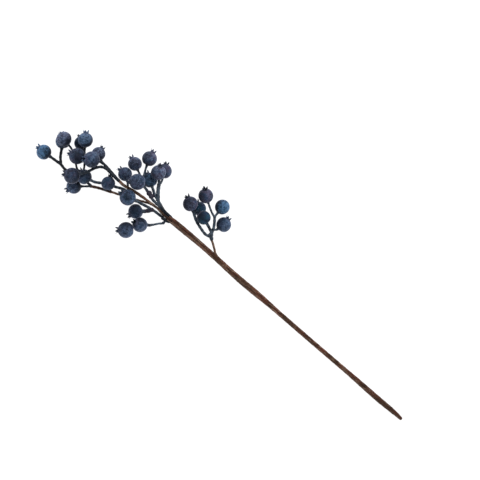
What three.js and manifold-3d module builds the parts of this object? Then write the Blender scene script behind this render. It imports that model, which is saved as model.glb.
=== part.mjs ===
// An artificial blueberry sprig: a florist's pick with a straight stem of
// paper-taped wires and five moulded sprays of powdered blue berries.
// Millimetres. +X runs along the stem from the cut end to the tip, +Z is up
// from the table the sprig lies on, and Z = 0 is the table.
import * as THREE from 'three';
import Module from 'manifold-3d';
import { mergeVertices } from 'three/addons/utils/BufferGeometryUtils.js';

const manifoldKit = await Module();
manifoldKit.setup();

// ---- driving dimensions -------------------------------------------------

const SMALL = 5.9; // radius of the three sizes of berry
const MIDDLE = 6.3;
const LARGE = 6.85;
const BERRY_SIDES = 12; // facets round a berry's waist
const BERRY_BANDS = 8; // rows of facets from stalk to crown

const CROWN_LOBES = 5; // pointed sepals left standing round the eye
const CROWN_RING = 0.33; // radius of their circle, as a share of the berry's
const LOBE_LENGTH = 4.4; // from the sunk root to the point
const LOBE_ROOT = 1.5; // how far the root is sunk
const LOBE_WIDTH = 1.9;
const LOBE_THICK = 1.2;
const LOBE_LEAN = 17; // degrees outward
const EYE_DEPTH = 0.7; // hollow inside the crown
const EYE_RING = 0.24;

const PEDICEL = 0.8; // radius of the thin stalk of one berry
const TWIG = 1.15; // radius of a spray's main twig
const BRANCH = 1.5; // radius of the stout limbs that carry several berries
const FLARE = 1.9; // radius where a stalk opens out against its berry
const FLARE_LENGTH = 2.6;
const FLARE_SINK = 0.9; // how far the flare is let into the berry
const TWIG_SIDES = 6;
const TWIG_STEP = 3.5;

const PIN = 0.4; // bare wire end that a spray is pushed on
const PIN_LENGTH = 5;
const FIT_GAP = 0.33; // clearance round and beyond the pin
const COLLAR = 1.4; // moulded sleeve round the pin
const COLLAR_LENGTH = 6;

const BUNDLE_SIDES = 12; // facets round the taped bundle
const STRANDS = 3; // wires that show as ridges under the tape
const STRAND_RELIEF = 0.09; // their height at the bundle's top, as a share of its radius
const WIRE = 0.92; // radius of one taped wire
const WOUND_WIRE = 1.2; // radius where the upper wire is wound twice, near its spray
const WIRE_STEP = 4;
const SMOOTH = 0.03; // seams finer than this are dropped when parts are fused
const FLAT_SINK = 0.5; // how far the lowest berries are flattened

// ---- where things lie ---------------------------------------------------

// the taped bundle: place of its axis and its radius, cut end first
const BUNDLE = [
  { at: [-1.2, 0.6, 1.9], radius: 1.1 },
  { at: [0.3, 0.45, 1.9], radius: 1.45 },
  { at: [3, 0.3, 1.95], radius: 1.65 },
  { at: [6, 0.3, 2.05], radius: 1.8 },
  { at: [8.5, 0.2, 2.2], radius: 2.05 },
  { at: [16, 0.3, 2.3], radius: 2.2 },
  { at: [23, 0.45, 2.35], radius: 2.35 },
  { at: [35, 0.35, 2.6], radius: 2.3 },
  { at: [50, 0.1, 3], radius: 2.1 },
  { at: [60, 0.05, 3.3], radius: 1.9 },
  { at: [100, 0.05, 4.5], radius: 1.9 },
  { at: [138, -0.2, 5.8], radius: 1.95 },
  { at: [150, -0.4, 6.3], radius: 2.3 },
  { at: [163, -0.3, 6.8], radius: 2.75 },
  { at: [178, -0.1, 7.4], radius: 2.75 },
  { at: [190, -0.3, 8], radius: 2.5 },
  { at: [205, -0.9, 8.8], radius: 2.4 },
  { at: [222, -1.2, 9.8], radius: 2.3 },
  { at: [234, -1.2, 10.6], radius: 2.5 },
  { at: [246, -1, 11.5], radius: 2.65 },
  { at: [254, -0.85, 12.2], radius: 2.55 },
  { at: [256.6, -0.65, 12.45], radius: 2.3 },
];

// the three taped wires that leave the bundle and carry a spray each
const SIDE_WIRE = [[200, -1.8, 8.4], [208.5, -3.1, 9.3], [214, -6.8, 9.6], [218.5, -9.7, 10]];
const UPPER_WIRE = [
  [252, -0.2, 13.2], [258, 0, 14.7], [264.5, 0.1, 14.7], [272, -0.8, 14.2], [279.5, -0.4, 14],
  [286, 0.15, 13.4], [295.5, 1.2, 13.2], [301, 2.3, 15.2], [305.5, 3, 16.6], [309.5, 2.8, 17.5],
];
const LOWER_WIRE = [
  [252, -0.2, 11.4], [258, -0.1, 10.7], [263.5, -0.4, 10.8], [268.5, -0.9, 10.6], [274, -0.45, 10.1],
  [279, 0.6, 9], [283.5, 2.6, 7.8], [288.5, 5, 7], [295, 7.8, 6.6], [303.5, 11.6, 6.4],
  [309.5, 14, 6.4],
];
// where the pins of the two sprays bound straight into the bundle stand
const CENTRE_UPPER_PIN = [[250, -1.8, 12.2], [257, -2.15, 12.9]];
const CENTRE_LOWER_PIN = [[250, 0.8, 12], [257, 1.95, 12.6]];

// Berries: the middle, the radius, and which way the crown looks, as a
// bearing from +X round to +Y and a rise above the table. The lowest ones sit
// a little into the table, which flattens them.
const BERRIES = {
  side: {
    high: { at: [247, -35, 17], radius: MIDDLE, bearing: -44, rise: 42 },
    inner: { at: [252.5, -21.5, 16], radius: MIDDLE, bearing: -26, rise: 15 },
    bright: { at: [230.5, -37, 12.5], radius: MIDDLE, bearing: -87, rise: -60 },
    outer: { at: [220, -26.5, 11], radius: MIDDLE, bearing: -86, rise: 10 },
    low: { at: [244.5, -23.3, SMALL - FLAT_SINK], radius: SMALL, bearing: -29, rise: 0 },
    middle: { at: [236.5, -20, 14.5], radius: SMALL, bearing: -9, rise: 10 },
  },
  centreUpper: {
    far: { at: [303.5, -28, 10], radius: MIDDLE, bearing: -77, rise: 5 },
    fore: { at: [310, -16.7, 9], radius: SMALL, bearing: -21, rise: 5 },
    front: { at: [297.5, -7, 20.3], radius: LARGE, bearing: 36, rise: 25 },
    top: { at: [289.7, -24, 18.8], radius: MIDDLE, bearing: -67, rise: 30 },
    under: { at: [287.3, -28.2, MIDDLE - FLAT_SINK], radius: MIDDLE, bearing: -63, rise: 5 },
    dark: { at: [291.6, -14.5, 8], radius: MIDDLE, bearing: -24, rise: 5 },
  },
  centreLower: {
    front: { at: [295.7, 8.5, 18.3], radius: LARGE, bearing: 4, rise: 20 },
    low: { at: [283.7, 13.3, MIDDLE - FLAT_SINK], radius: MIDDLE, bearing: 73, rise: 5 },
    facing: { at: [273.3, 19.4, 11], radius: MIDDLE, bearing: 15, rise: 42 },
    outer: { at: [279.2, 30.2, 17], radius: LARGE, bearing: 41, rise: 5 },
    upper: { at: [310.5, -4.8, 12], radius: SMALL, bearing: -4, rise: 5 },
    end: { at: [335, 19.2, 12.2], radius: MIDDLE, bearing: -14, rise: 10 },
  },
  tipUpper: {
    big: { at: [350.3, 9.8, 18.3], radius: LARGE, bearing: 18, rise: 10 },
    front: { at: [338.5, 3.7, 24.5], radius: LARGE, bearing: 41, rise: 45 },
    back: { at: [338.6, -3.1, 11], radius: SMALL, bearing: -82, rise: 5 },
    over: { at: [342.5, 25, 22], radius: LARGE, bearing: 26, rise: 10 },
  },
  tipLower: {
    tip: { at: [374.3, 25.5, 12], radius: MIDDLE, bearing: -1, rise: 10 },
    above: { at: [368, 6, 18.6], radius: MIDDLE, bearing: 4, rise: -50 },
    below: { at: [368.7, 8.4, MIDDLE - FLAT_SINK], radius: MIDDLE, bearing: -39, rise: -3 },
    right: { at: [353.8, -5, 18.3], radius: MIDDLE, bearing: -54, rise: 10 },
    left: { at: [337, 31.2, MIDDLE - FLAT_SINK], radius: MIDDLE, bearing: 70, rise: 5 },
    hidden: { at: [356, -0.4, SMALL - FLAT_SINK], radius: SMALL, bearing: -39, rise: 0 },
    first: { at: [316, 10.3, 14], radius: SMALL, bearing: -67, rise: 0 },
  },
};

// Each spray's limbs. A limb is a run of points from its root, thin as a stalk
// unless it says how thick; one that names a berry goes on to that berry and
// opens out in a flare against it.
const LIMBS = {
  side: [
    { run: [[222.3, -12.3, 10.2], [223.7, -17, 11.5], [226.5, -22, 12.6], [230, -26.5, 13.3]], thick: TWIG },
    { run: [[229.5, -26, 13.2], [234.7, -28, 13]], berry: 'high' },
    { run: [[230, -26, 13.3], [230.1, -29.3, 13.1]], berry: 'bright' },
    { run: [[223.9, -17.5, 11.6], [221.8, -19.3, 11.2]], berry: 'outer' },
    {
      run: [[221.8, -11.5, 10.2], [226.1, -10.3, 10], [232.2, -11.5, 10.3], [239.7, -14, 11],
        [245, -17.2, 13]],
      thick: TWIG,
      berry: 'inner',
    },
    { run: [[223, -14.6, 10.8], [228.8, -17, 12.3]], thick: TWIG, berry: 'middle' },
    { run: [[223.2, -14.6, 10], [229, -17.2, 7.8], [236.5, -20.2, 6.2]], thick: TWIG, berry: 'low' },
  ],
  centreUpper: [
    { run: [[262, -2.2, 13.3], [267.5, -3.4, 14.5], [272, -5.1, 15.5], [275.5, -6.3, 15.5]], thick: TWIG },
    { run: [[275, -6.2, 15.5], [280, -12, 14.5], [283, -16.5, 13.3]], thick: BRANCH },
    { run: [[282.7, -16.2, 13.3], [284.4, -18.4, 14]], thick: TWIG, berry: 'top' },
    { run: [[282.7, -16, 13.3], [283.2, -20, 9.5]], berry: 'under' },
    { run: [[275, -6.3, 15.5], [279.5, -7.5, 14], [283.2, -9.6, 11.8]], thick: TWIG, berry: 'dark' },
    {
      run: [[263, -2.4, 13.6], [268, -2.9, 16], [272.5, -3.2, 16.8], [277.5, -3.5, 16],
        [282.5, -4.5, 14.2], [288, -6.5, 13], [292.3, -7.4, 12]],
      thick: TWIG,
    },
    { run: [[291.8, -7, 12.1], [293, -7.6, 13]], berry: 'front' },
    { run: [[291.8, -7.2, 12], [296.3, -10, 11], [298.3, -15.3, 10.4], [300.6, -20, 10.2]], berry: 'far' },
    { run: [[295.6, -9.3, 11.2], [300.2, -12.2, 10]], berry: 'fore' },
  ],
  centreLower: [
    {
      run: [[262, 2.1, 12.9], [267, 2.5, 12], [271, 2.7, 11.5], [274, 3.1, 11.2], [279, 4, 11],
        [284.5, 5.3, 10.7], [289.5, 6.2, 10.3]],
      thick: TWIG,
    },
    { run: [[273.5, 3.2, 11.3], [276.3, 6.8, 9.5]], thick: BRANCH, berry: 'low' },
    { run: [[259.5, 2.2, 12.7], [259.3, 5.6, 12], [261.7, 8.1, 11.3], [265.2, 12.3, 11]], berry: 'facing' },
    { run: [[263.7, 10.5, 11.2], [267.1, 15, 8], [271.6, 18.2, 3.6], [276, 22.7, 6]], berry: 'outer' },
    { run: [[286.5, 5.7, 10.5], [288.6, 6.7, 12.6]], berry: 'front' },
    {
      run: [[288.5, 6, 10.4], [294.5, 6, 9.5], [299.5, 5.2, 9], [303.5, 5.7, 8.4], [310, 8.7, 7.2],
        [315.9, 10.9, 6.7], [321.1, 14, 6.7], [326, 17, 7.7]],
      thick: TWIG,
      berry: 'end',
    },
    { run: [[299, 5.2, 9.1], [301.3, 2.3, 9.6], [304.3, -0.6, 10.5]], berry: 'upper' },
  ],
  tipUpper: [
    { run: [[313, 2.4, 18.4], [316, 1.9, 18.8], [320, 1.3, 18.8], [325.5, 0.5, 18]], thick: TWIG },
    {
      run: [[325, 0.6, 18], [329, 0.3, 17.4], [332.5, 0.8, 16.4], [337, 2.7, 14.6], [341, 5.3, 14.4]],
      thick: TWIG,
      berry: 'big',
    },
    { run: [[331.5, 0.6, 16.6], [333.2, 0.9, 18]], berry: 'front' },
    { run: [[330, 0.3, 17.1], [333.2, -0.3, 14]], thick: TWIG, berry: 'back' },
    {
      run: [[314, 2.7, 18.8], [317.5, 2.6, 19.2], [321.5, 2.1, 19.4], [325.5, 2.1, 19.4], [329.3, 3.7, 19.4],
        [332.5, 8, 20], [335, 14, 20.9]],
      thick: TWIG,
      berry: 'over',
    },
  ],
  tipLower: [
    { run: [[314, 15.9, 6.4], [320.5, 18.8, 6], [326.5, 22, 5.7]], thick: TWIG },
    { run: [[326, 21.8, 5.7], [329.5, 24.8, 5.7]], berry: 'left' },
    { run: [[325.5, 21.5, 5.7], [331, 21.3, 3.4], [336.5, 20.3, 3.3], [341, 19.5, 5]], thick: TWIG },
    { run: [[340.5, 19.5, 4.9], [346, 22.5, 7.6], [350.8, 25, 9.3], [357.3, 24, 10]], thick: TWIG },
    { run: [[356.8, 24.1, 10], [362, 24.5, 10.8]], thick: TWIG, berry: 'tip' },
    { run: [[356.7, 24.2, 10], [361.3, 19.8, 8.7], [364.1, 15.8, 7]], thick: TWIG, berry: 'below' },
    {
      run: [[340.5, 19.5, 4.9], [345, 17.8, 7.4], [348.5, 15, 8.6], [353, 11.6, 9.8], [358.4, 8.3, 13]],
      berry: 'above',
    },
    { run: [[338, 20, 4], [340.5, 13.7, 6.6], [344.5, 8.3, 8.6], [348.6, 2.8, 12.6]], berry: 'right' },
    { run: [[343.4, 9.8, 8], [347, 6.3, 6.2]], berry: 'hidden' },
    { run: [[316.5, 17, 6.3], [315, 16.6, 8.8]], berry: 'first' },
  ],
};

// Swellings where twigs fork
const KNOBS = {
  side: [{ at: [222.6, -12.9, 10.4], radius: 2.2 }, { at: [230, -26.5, 13.3], radius: 1.45 }],
  centreUpper: [
    { at: [275.5, -6.3, 15.5], radius: 1.6 },
    { at: [281.5, -5, 14.6], radius: 2.3 },
    { at: [284.5, -5.8, 13.8], radius: 2.4 },
    { at: [283, -16.5, 13.3], radius: 1.75 },
  ],
  centreLower: [
    { at: [274, 3.3, 11.2], radius: 1.8 },
    { at: [276.5, 6.5, 9.6], radius: 1.75 },
    { at: [259.4, 5.4, 12], radius: 1.4 },
    { at: [289, 6.1, 10.4], radius: 1.45 },
  ],
  tipUpper: [{ at: [325.7, 1, 18.3], radius: 1.75 }],
  tipLower: [{ at: [326.3, 21.8, 5.7], radius: 1.5 }, { at: [340.8, 19.5, 5], radius: 1.65 }],
};

// ---- small solids -------------------------------------------------------

// A closed solid from a closed surface, turned to face out.
function solid(geometry) {
  const bare = geometry.clone();
  bare.deleteAttribute('normal');
  bare.deleteAttribute('uv');
  const welded = mergeVertices(bare, 1e-4);
  const place = welded.attributes.position.array;
  const corners = [];
  let volume = 0;
  const index = welded.index.array;
  for (let k = 0; k < index.length; k += 3) {
    const [a, b, c] = [index[k], index[k + 1], index[k + 2]];
    if (a === b || b === c || c === a) continue;
    corners.push(a, b, c);
    const [p, q, r] = [a, b, c].map((v) => new THREE.Vector3().fromArray(place, 3 * v));
    volume += p.dot(q.cross(r));
  }
  if (volume < 0) corners.reverse();
  return new manifoldKit.Manifold(new manifoldKit.Mesh({
    numProp: 3,
    vertProperties: new Float32Array(place),
    triVerts: new Uint32Array(corners),
  }));
}

// The geometry of a fused solid, ready for a mesh.
function surface(body) {
  const mesh = body.getMesh();
  const geometry = new THREE.BufferGeometry();
  geometry.setAttribute('position', new THREE.BufferAttribute(new Float32Array(mesh.vertProperties), 3));
  geometry.setIndex(new THREE.BufferAttribute(new Uint32Array(mesh.triVerts), 1));
  const flat = geometry.toNonIndexed();
  flat.computeVertexNormals();
  return flat;
}

function fuse(bodies) {
  let whole = bodies[0];
  for (const body of bodies.slice(1)) whole = whole.add(body);
  return whole.asOriginal().simplify(SMOOTH);
}

// A limb of even thickness along a smooth curve through the points.
function limb(points, radius, sides, step) {
  const path = new THREE.CatmullRomCurve3(points.map((p) => new THREE.Vector3(...p)), false, 'centripetal');
  const corners = [];
  for (let k = 0; k < sides; k += 1) {
    const turn = (2 * Math.PI * k) / sides;
    corners.push(new THREE.Vector2(radius * Math.cos(turn), radius * Math.sin(turn)));
  }
  const steps = Math.max(1, Math.round(path.getLength() / step));
  return solid(new THREE.ExtrudeGeometry(new THREE.Shape(corners), { steps, extrudePath: path }));
}

// A straight round bar between two points, or a cone where the radii differ.
function bar(from, to, sides, radius, endRadius = radius) {
  const start = new THREE.Vector3(...from);
  const way = new THREE.Vector3(...to).sub(start);
  const geometry = new THREE.CylinderGeometry(endRadius, radius, way.length(), sides);
  geometry.translate(0, way.length() / 2, 0);
  geometry.applyQuaternion(new THREE.Quaternion().setFromUnitVectors(
    new THREE.Vector3(0, 1, 0),
    way.clone().normalize(),
  ));
  geometry.translate(...from);
  return solid(geometry);
}

function ball(at, radius) {
  const geometry = new THREE.IcosahedronGeometry(radius, 0);
  geometry.translate(...at);
  return solid(geometry);
}

function apart(a, b) {
  return new THREE.Vector3(...a).distanceTo(new THREE.Vector3(...b));
}

// A point some way beyond b on the line from a to b.
function beyond(a, b, reach) {
  const from = new THREE.Vector3(...a);
  const to = new THREE.Vector3(...b);
  const way = to.clone().sub(from).normalize();
  return to.addScaledVector(way, reach).toArray();
}

// ---- berries ------------------------------------------------------------

// One berry standing on its stalk end, crown up: a ball drawn in at the
// crown to a rim with a hollow eye inside it, and a ring of pointed lobes.
function berry(radius) {
  const profile = [];
  const rimAngle = Math.asin(CROWN_RING + 0.06);
  for (let k = 0; k <= BERRY_BANDS; k += 1) {
    const down = Math.PI - ((Math.PI - rimAngle) * k) / BERRY_BANDS;
    profile.push(new THREE.Vector2(radius * Math.sin(down), radius * Math.cos(down)));
  }
  profile[0].x = 0;
  const rimHeight = profile[BERRY_BANDS].y;
  profile.push(new THREE.Vector2(radius * EYE_RING, rimHeight - 0.1));
  profile.push(new THREE.Vector2(0, rimHeight - EYE_DEPTH));
  const fruit = new THREE.LatheGeometry(profile, BERRY_SIDES);
  fruit.rotateX(Math.PI / 2);
  const parts = [solid(fruit)];
  for (let k = 0; k < CROWN_LOBES; k += 1) {
    const lobe = new THREE.ConeGeometry(LOBE_WIDTH / 2, LOBE_LENGTH, 4);
    lobe.rotateX(Math.PI / 2);
    lobe.scale(LOBE_THICK / LOBE_WIDTH, 1, 1);
    lobe.translate(0, 0, LOBE_LENGTH / 2 - LOBE_ROOT);
    lobe.rotateY((LOBE_LEAN * Math.PI) / 180);
    lobe.translate(radius * CROWN_RING, 0, rimHeight);
    lobe.rotateZ((2 * Math.PI * (k + 0.25)) / CROWN_LOBES);
    parts.push(solid(lobe));
  }
  return fuse(parts);
}

const PATTERNS = new Map([SMALL, MIDDLE, LARGE].map((radius) => [radius, berry(radius)]));

// The berry turned so that its crown looks along its bearing and rise.
function placedBerry({ at, radius, bearing, rise }) {
  const fruit = PATTERNS.get(radius);
  return fruit.rotate([0, 90 - rise, 0]).rotate([0, 0, bearing]).translate(at);
}

// ---- sprays -------------------------------------------------------------

// One spray: a sleeve on its pin, twigs and stalks, and their berries.
function spray(name, wireEnd) {
  const [inner, outer] = wireEnd;
  const sleeveStart = beyond(inner, outer, FIT_GAP);
  const sleeveEnd = beyond(inner, outer, FIT_GAP + COLLAR_LENGTH);
  const parts = [bar(sleeveStart, sleeveEnd, 8, COLLAR)];
  for (const { run, thick, berry: bears } of LIMBS[name]) {
    const points = [...run];
    if (bears) {
      const { at, radius } = BERRIES[name][bears];
      const last = run[run.length - 1];
      const end = beyond(at, last, radius - FLARE_SINK - apart(at, last));
      const flareStart = beyond(at, end, FLARE_LENGTH);
      parts.push(bar(flareStart, end, TWIG_SIDES, PEDICEL, FLARE));
      points.push(end);
    }
    parts.push(limb(points, thick ?? PEDICEL, TWIG_SIDES, TWIG_STEP));
  }
  for (const { at, radius } of KNOBS[name]) parts.push(ball(at, radius));
  for (const fruit of Object.values(BERRIES[name])) parts.push(placedBerry(fruit));
  const bore = bar(outer, beyond(inner, outer, PIN_LENGTH + FIT_GAP), 8, PIN + FIT_GAP);
  return fuse(parts).subtract(bore);
}

// ---- taped bundle and wires ---------------------------------------------

// The value between the bundle's stations at a place along the stem.
function between(x, value) {
  const after = Math.max(1, BUNDLE.findIndex(({ at }) => at[0] >= x));
  const [a, b] = [BUNDLE[after - 1], BUNDLE[after]];
  return value(a) + ((x - a.at[0]) / (b.at[0] - a.at[0])) * (value(b) - value(a));
}

// The bundle is turned round the X axis, given the ridges of the wires under
// its tape, then bent to its line.
function bundle() {
  const first = BUNDLE[0];
  const last = BUNDLE[BUNDLE.length - 1];
  const profile = [new THREE.Vector2(0, first.at[0])];
  for (const { at, radius } of BUNDLE) profile.push(new THREE.Vector2(radius, at[0]));
  profile.push(new THREE.Vector2(0, last.at[0]));
  const turned = new THREE.LatheGeometry(profile, BUNDLE_SIDES);
  turned.rotateZ(-Math.PI / 2);
  const place = turned.attributes.position;
  for (let k = 0; k < place.count; k += 1) {
    const x = Math.min(place.getX(k), last.at[0]);
    const turn = Math.atan2(place.getZ(k), place.getY(k));
    const swell = 1 + STRAND_RELIEF * (x / last.at[0]) ** 2 * Math.cos(STRANDS * turn);
    place.setY(k, place.getY(k) * swell + between(x, ({ at }) => at[1]));
    place.setZ(k, place.getZ(k) * swell + between(x, ({ at }) => at[2]));
  }
  const parts = [solid(turned)];
  for (const wire of [SIDE_WIRE, UPPER_WIRE, LOWER_WIRE]) {
    parts.push(limb(wire, WIRE, TWIG_SIDES, WIRE_STEP));
  }
  parts.push(limb(UPPER_WIRE.slice(-4), WOUND_WIRE, TWIG_SIDES, WIRE_STEP));
  for (const wire of [SIDE_WIRE, UPPER_WIRE, LOWER_WIRE, CENTRE_UPPER_PIN, CENTRE_LOWER_PIN]) {
    const [inner, outer] = wire.slice(-2);
    parts.push(bar(inner, beyond(inner, outer, PIN_LENGTH), 8, PIN));
  }
  return fuse(parts);
}

// ---- the sprig ----------------------------------------------------------

const PAPER = { color: 0x4a342a, roughness: 0.85, metalness: 0 };
const BERRY_BLUE = { color: 0x39456a, roughness: 0.7, metalness: 0 };

// Everything below the table is taken off, which leaves a small flat spot
// under each of the lowest berries.
const table = new THREE.BoxGeometry(1000, 400, 20);
table.translate(200, 0, -10);
const TABLE = solid(table);

const NODES = [
  ['stem', bundle(), PAPER],
  ['spray_side', spray('side', SIDE_WIRE.slice(-2)), BERRY_BLUE],
  ['spray_centre_upper', spray('centreUpper', CENTRE_UPPER_PIN), BERRY_BLUE],
  ['spray_centre_lower', spray('centreLower', CENTRE_LOWER_PIN), BERRY_BLUE],
  ['spray_tip_upper', spray('tipUpper', UPPER_WIRE.slice(-2)), BERRY_BLUE],
  ['spray_tip_lower', spray('tipLower', LOWER_WIRE.slice(-2)), BERRY_BLUE],
];

const sprig = new THREE.Group();
sprig.name = 'blueberry_sprig';
for (const [name, body, look] of NODES) {
  const mesh = new THREE.Mesh(surface(body.subtract(TABLE)), new THREE.MeshStandardMaterial(look));
  mesh.name = name;
  sprig.add(mesh);
}

// The middle of the sprig's footprint goes to the origin.
const extent = new THREE.Box3().setFromObject(sprig);
const middle = extent.getCenter(new THREE.Vector3());
for (const mesh of sprig.children) mesh.geometry.translate(-middle.x, -middle.y, 0);

export default sprig;
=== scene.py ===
# %% [markdown]
# # An artificial blueberry sprig
#
# The real thing is a florist's pick. Five little sprays are moulded in dark
# blue plastic. Each ends in foam berries that were dipped in matt paint and
# dusted with a paler powder, and each berry wears a crown of five points.
# The sprays are pushed on wires, and the wires are bound into one straight
# stem with brown crepe paper tape.
#
# The solids that carry the weight and rest on the table are made already.
# This lesson dresses them: it replaces each solid by surfaces that are worked
# out with numpy, and gives every surface a finish made of nodes.

import math

import bpy
import numpy as np
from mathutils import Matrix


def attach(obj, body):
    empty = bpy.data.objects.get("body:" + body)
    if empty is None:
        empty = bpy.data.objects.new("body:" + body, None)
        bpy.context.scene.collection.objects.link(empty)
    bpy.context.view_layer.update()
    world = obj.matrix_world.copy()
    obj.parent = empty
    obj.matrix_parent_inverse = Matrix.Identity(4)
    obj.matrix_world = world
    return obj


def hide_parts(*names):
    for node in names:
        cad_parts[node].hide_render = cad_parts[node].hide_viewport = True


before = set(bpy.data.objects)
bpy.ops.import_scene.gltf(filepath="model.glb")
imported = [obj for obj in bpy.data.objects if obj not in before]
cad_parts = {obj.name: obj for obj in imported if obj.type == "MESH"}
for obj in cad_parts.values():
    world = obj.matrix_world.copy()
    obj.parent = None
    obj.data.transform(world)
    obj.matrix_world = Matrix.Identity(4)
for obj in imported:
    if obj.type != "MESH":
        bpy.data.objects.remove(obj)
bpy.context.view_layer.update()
print("solids:", sorted(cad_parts))

# %% [markdown]
# ## Units and places
#
# Everything on the sprig is placed in millimetres from the middle of the
# stem's cut end: x runs along the stem to the tip, y to its left and z up
# from the table. Blender works in metres, and the frame's own origin is under
# the middle of the sprig, so one function carries a place across.

# %% From the sprig's millimetres to the frame's metres
MM = 0.001
CUT_END = np.array([-0.19102, 0.00171, 0.0])


def to_frame(points):
    """Millimetres from the cut end, times a thousandth, plus where the cut end is."""
    return np.asarray(points, float) * MM + CUT_END


print("the cut end is at", to_frame([0, 0, 0]).round(4))

# %% [markdown]
# ## The camera
#
# The sprig lies on a table and is seen from straight above, with the stem
# running from the lower right to the upper left. A long lens from a step away
# keeps the perspective mild. The camera is placed by two facts: how many
# millimetres one unit of the view covers at the height of the berries, and
# which way the stem runs across the view.

# %% A long lens straight above
VIEW_UNITS = 480  # the view is this many units wide and high
MM_PER_UNIT = 0.84
CUT_END_UNITS = (402, 419)  # across and down
STEM_TURN = math.radians(139.4)  # from the view's right, turning left
BERRY_HEIGHT = 12.0
CAMERA_DISTANCE = 1600.0
SENSOR = 36.0
SEEN_AS_FAR_AS = 20.0  # metres


def view_to_sprig(across, down):
    """Offset from the cut end in the view, turned back by the stem's turn, times the scale."""
    right, up = across - CUT_END_UNITS[0], CUT_END_UNITS[1] - down
    cosine, sine = math.cos(STEM_TURN), math.sin(STEM_TURN)
    return MM_PER_UNIT * (right * cosine + up * sine), MM_PER_UNIT * (up * cosine - right * sine)


scene = bpy.context.scene
lens_data = bpy.data.cameras.new("camera")
lens_data.sensor_width = SENSOR
lens_data.lens = SENSOR * CAMERA_DISTANCE / (VIEW_UNITS * MM_PER_UNIT)
lens_data.clip_end = SEEN_AS_FAR_AS
camera = bpy.data.objects.new("camera", lens_data)
view_middle = view_to_sprig(VIEW_UNITS / 2, VIEW_UNITS / 2)
camera.location = to_frame([*view_middle, BERRY_HEIGHT + CAMERA_DISTANCE])
camera.rotation_euler = (0.0, 0.0, -STEM_TURN)
scene.collection.objects.link(camera)
scene.camera = camera
print("lens", round(lens_data.lens, 1), "mm, at", [round(v, 3) for v in camera.location])

# %% [markdown]
# ## Light and floor
#
# Small dark things are lit on a light table: a white acrylic sheet that glows
# a little, so that it shows no shadow and sends light up round the edges of
# the berries. The studio's walls are white and its ceiling is dim, so the sky
# is bright at the horizon and darker overhead: each berry then has a dark
# middle and a light edge wherever its neighbours leave it free. One broad
# soft lamp from the far side models the tops. It is hidden from the camera,
# because another view may look through it.

# %% Light table, sky and a broad lamp
LAMP_FROM = (0.25, -0.84, 1.3)  # the way to the lamp
LAMP_DISTANCE = 1.3  # metres, like its size
LAMP_SIZE = 0.7
LAMP_POWER = 5.5  # watts
WALL_LIGHT = 0.25
CEILING_LIGHT = 0.16
SHEET_WHITE = 0.3
SHEET_GLOW = 1.0

scene.view_settings.view_transform = "Standard"


def white_room(walls, ceiling):
    """A world whose light goes from walls to ceiling with the height of the direction looked in.

    Only the camera's own rays see it plain white, as a white backdrop: the larger of the light
    and of 1 for such a ray. What falls on the sprig is the dim light.
    """
    sky = bpy.data.worlds.new("white_room")
    sky.use_nodes = True
    tree = sky.node_tree
    looked = tree.nodes.new("ShaderNodeTexCoord")
    height = tree.nodes.new("ShaderNodeSeparateXYZ")
    light = tree.nodes.new("ShaderNodeMapRange")
    light.inputs["To Min"].default_value = walls
    light.inputs["To Max"].default_value = ceiling
    tree.nodes["Background"].inputs["Color"].default_value = (1.0, 1.0, 1.0, 1.0)
    tree.links.new(looked.outputs["Generated"], height.inputs[0])
    tree.links.new(height.outputs["Z"], light.inputs["Value"])
    seen = tree.nodes.new("ShaderNodeLightPath")
    shown = tree.nodes.new("ShaderNodeMath")
    shown.operation = "MAXIMUM"
    tree.links.new(light.outputs["Result"], shown.inputs[0])
    tree.links.new(seen.outputs["Is Camera Ray"], shown.inputs[1])
    tree.links.new(shown.outputs[0], tree.nodes["Background"].inputs["Strength"])
    return sky


scene.world = white_room(WALL_LIGHT, CEILING_LIGHT)


def add_lamp(name, direction, distance, size, power):
    """A square area lamp that far off in the direction, turned to shine back at the sprig."""
    data = bpy.data.lights.new(name, "AREA")
    data.size = size
    data.energy = power
    lamp = bpy.data.objects.new(name, data)
    away = np.array(direction, float) / np.linalg.norm(direction)
    lamp.location = away * distance
    lamp.rotation_euler = lamp.location.to_track_quat("Z", "Y").to_euler()
    lamp.visible_camera = False
    scene.collection.objects.link(lamp)
    print(name, "at", [round(v, 2) for v in lamp.location])


add_lamp("key_lamp", LAMP_FROM, LAMP_DISTANCE, LAMP_SIZE, LAMP_POWER)

# %% [markdown]
# ## Finishes
#
# Every finish is built from nodes. Colours are written as the hex values that
# a paint chart gives, and one function turns them to the linear values that
# the shader works in. One small function adds a node with its settings and
# links, and the rest of each finish is a short list of calls to it.


# %% Colour and node helpers
SMOOTH = {"interpolation_type": "SMOOTHSTEP"}
COLOURS = {"data_type": "RGBA"}  # of a Mix: its inputs 0, 6 and 7 are the share and the two colours
TIMES = {"operation": "MULTIPLY"}
TIMES_CLAMPED = {"operation": "MULTIPLY", "use_clamp": True}
PLUS_CLAMPED = {"operation": "ADD", "use_clamp": True}
LARGER = {"operation": "MAXIMUM"}


def linear(hex_colour):
    """sRGB hex to linear: small values over 12.92, the rest by the 2.4 power curve."""
    values = np.array([int(hex_colour[k : k + 2], 16) for k in (1, 3, 5)]) / 255
    out = np.where(values <= 0.04045, values / 12.92, ((values + 0.055) / 1.055) ** 2.4)
    return (*out.tolist(), 1.0)


def add(tree, kind, settings=None, **links):
    """Adds a node. Settings go to its properties, links to its inputs as values or sockets."""
    node = tree.nodes.new(kind)
    for name, value in (settings or {}).items():
        setattr(node, name, value)
    for name, value in links.items():
        key = int(name[1:]) if name[0] == "_" and name[1:].isdigit() else name.replace("_", " ")
        socket = node.inputs[key]
        if isinstance(value, bpy.types.NodeSocket):
            tree.links.new(value, socket)
        else:
            socket.default_value = value
    return node


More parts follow.
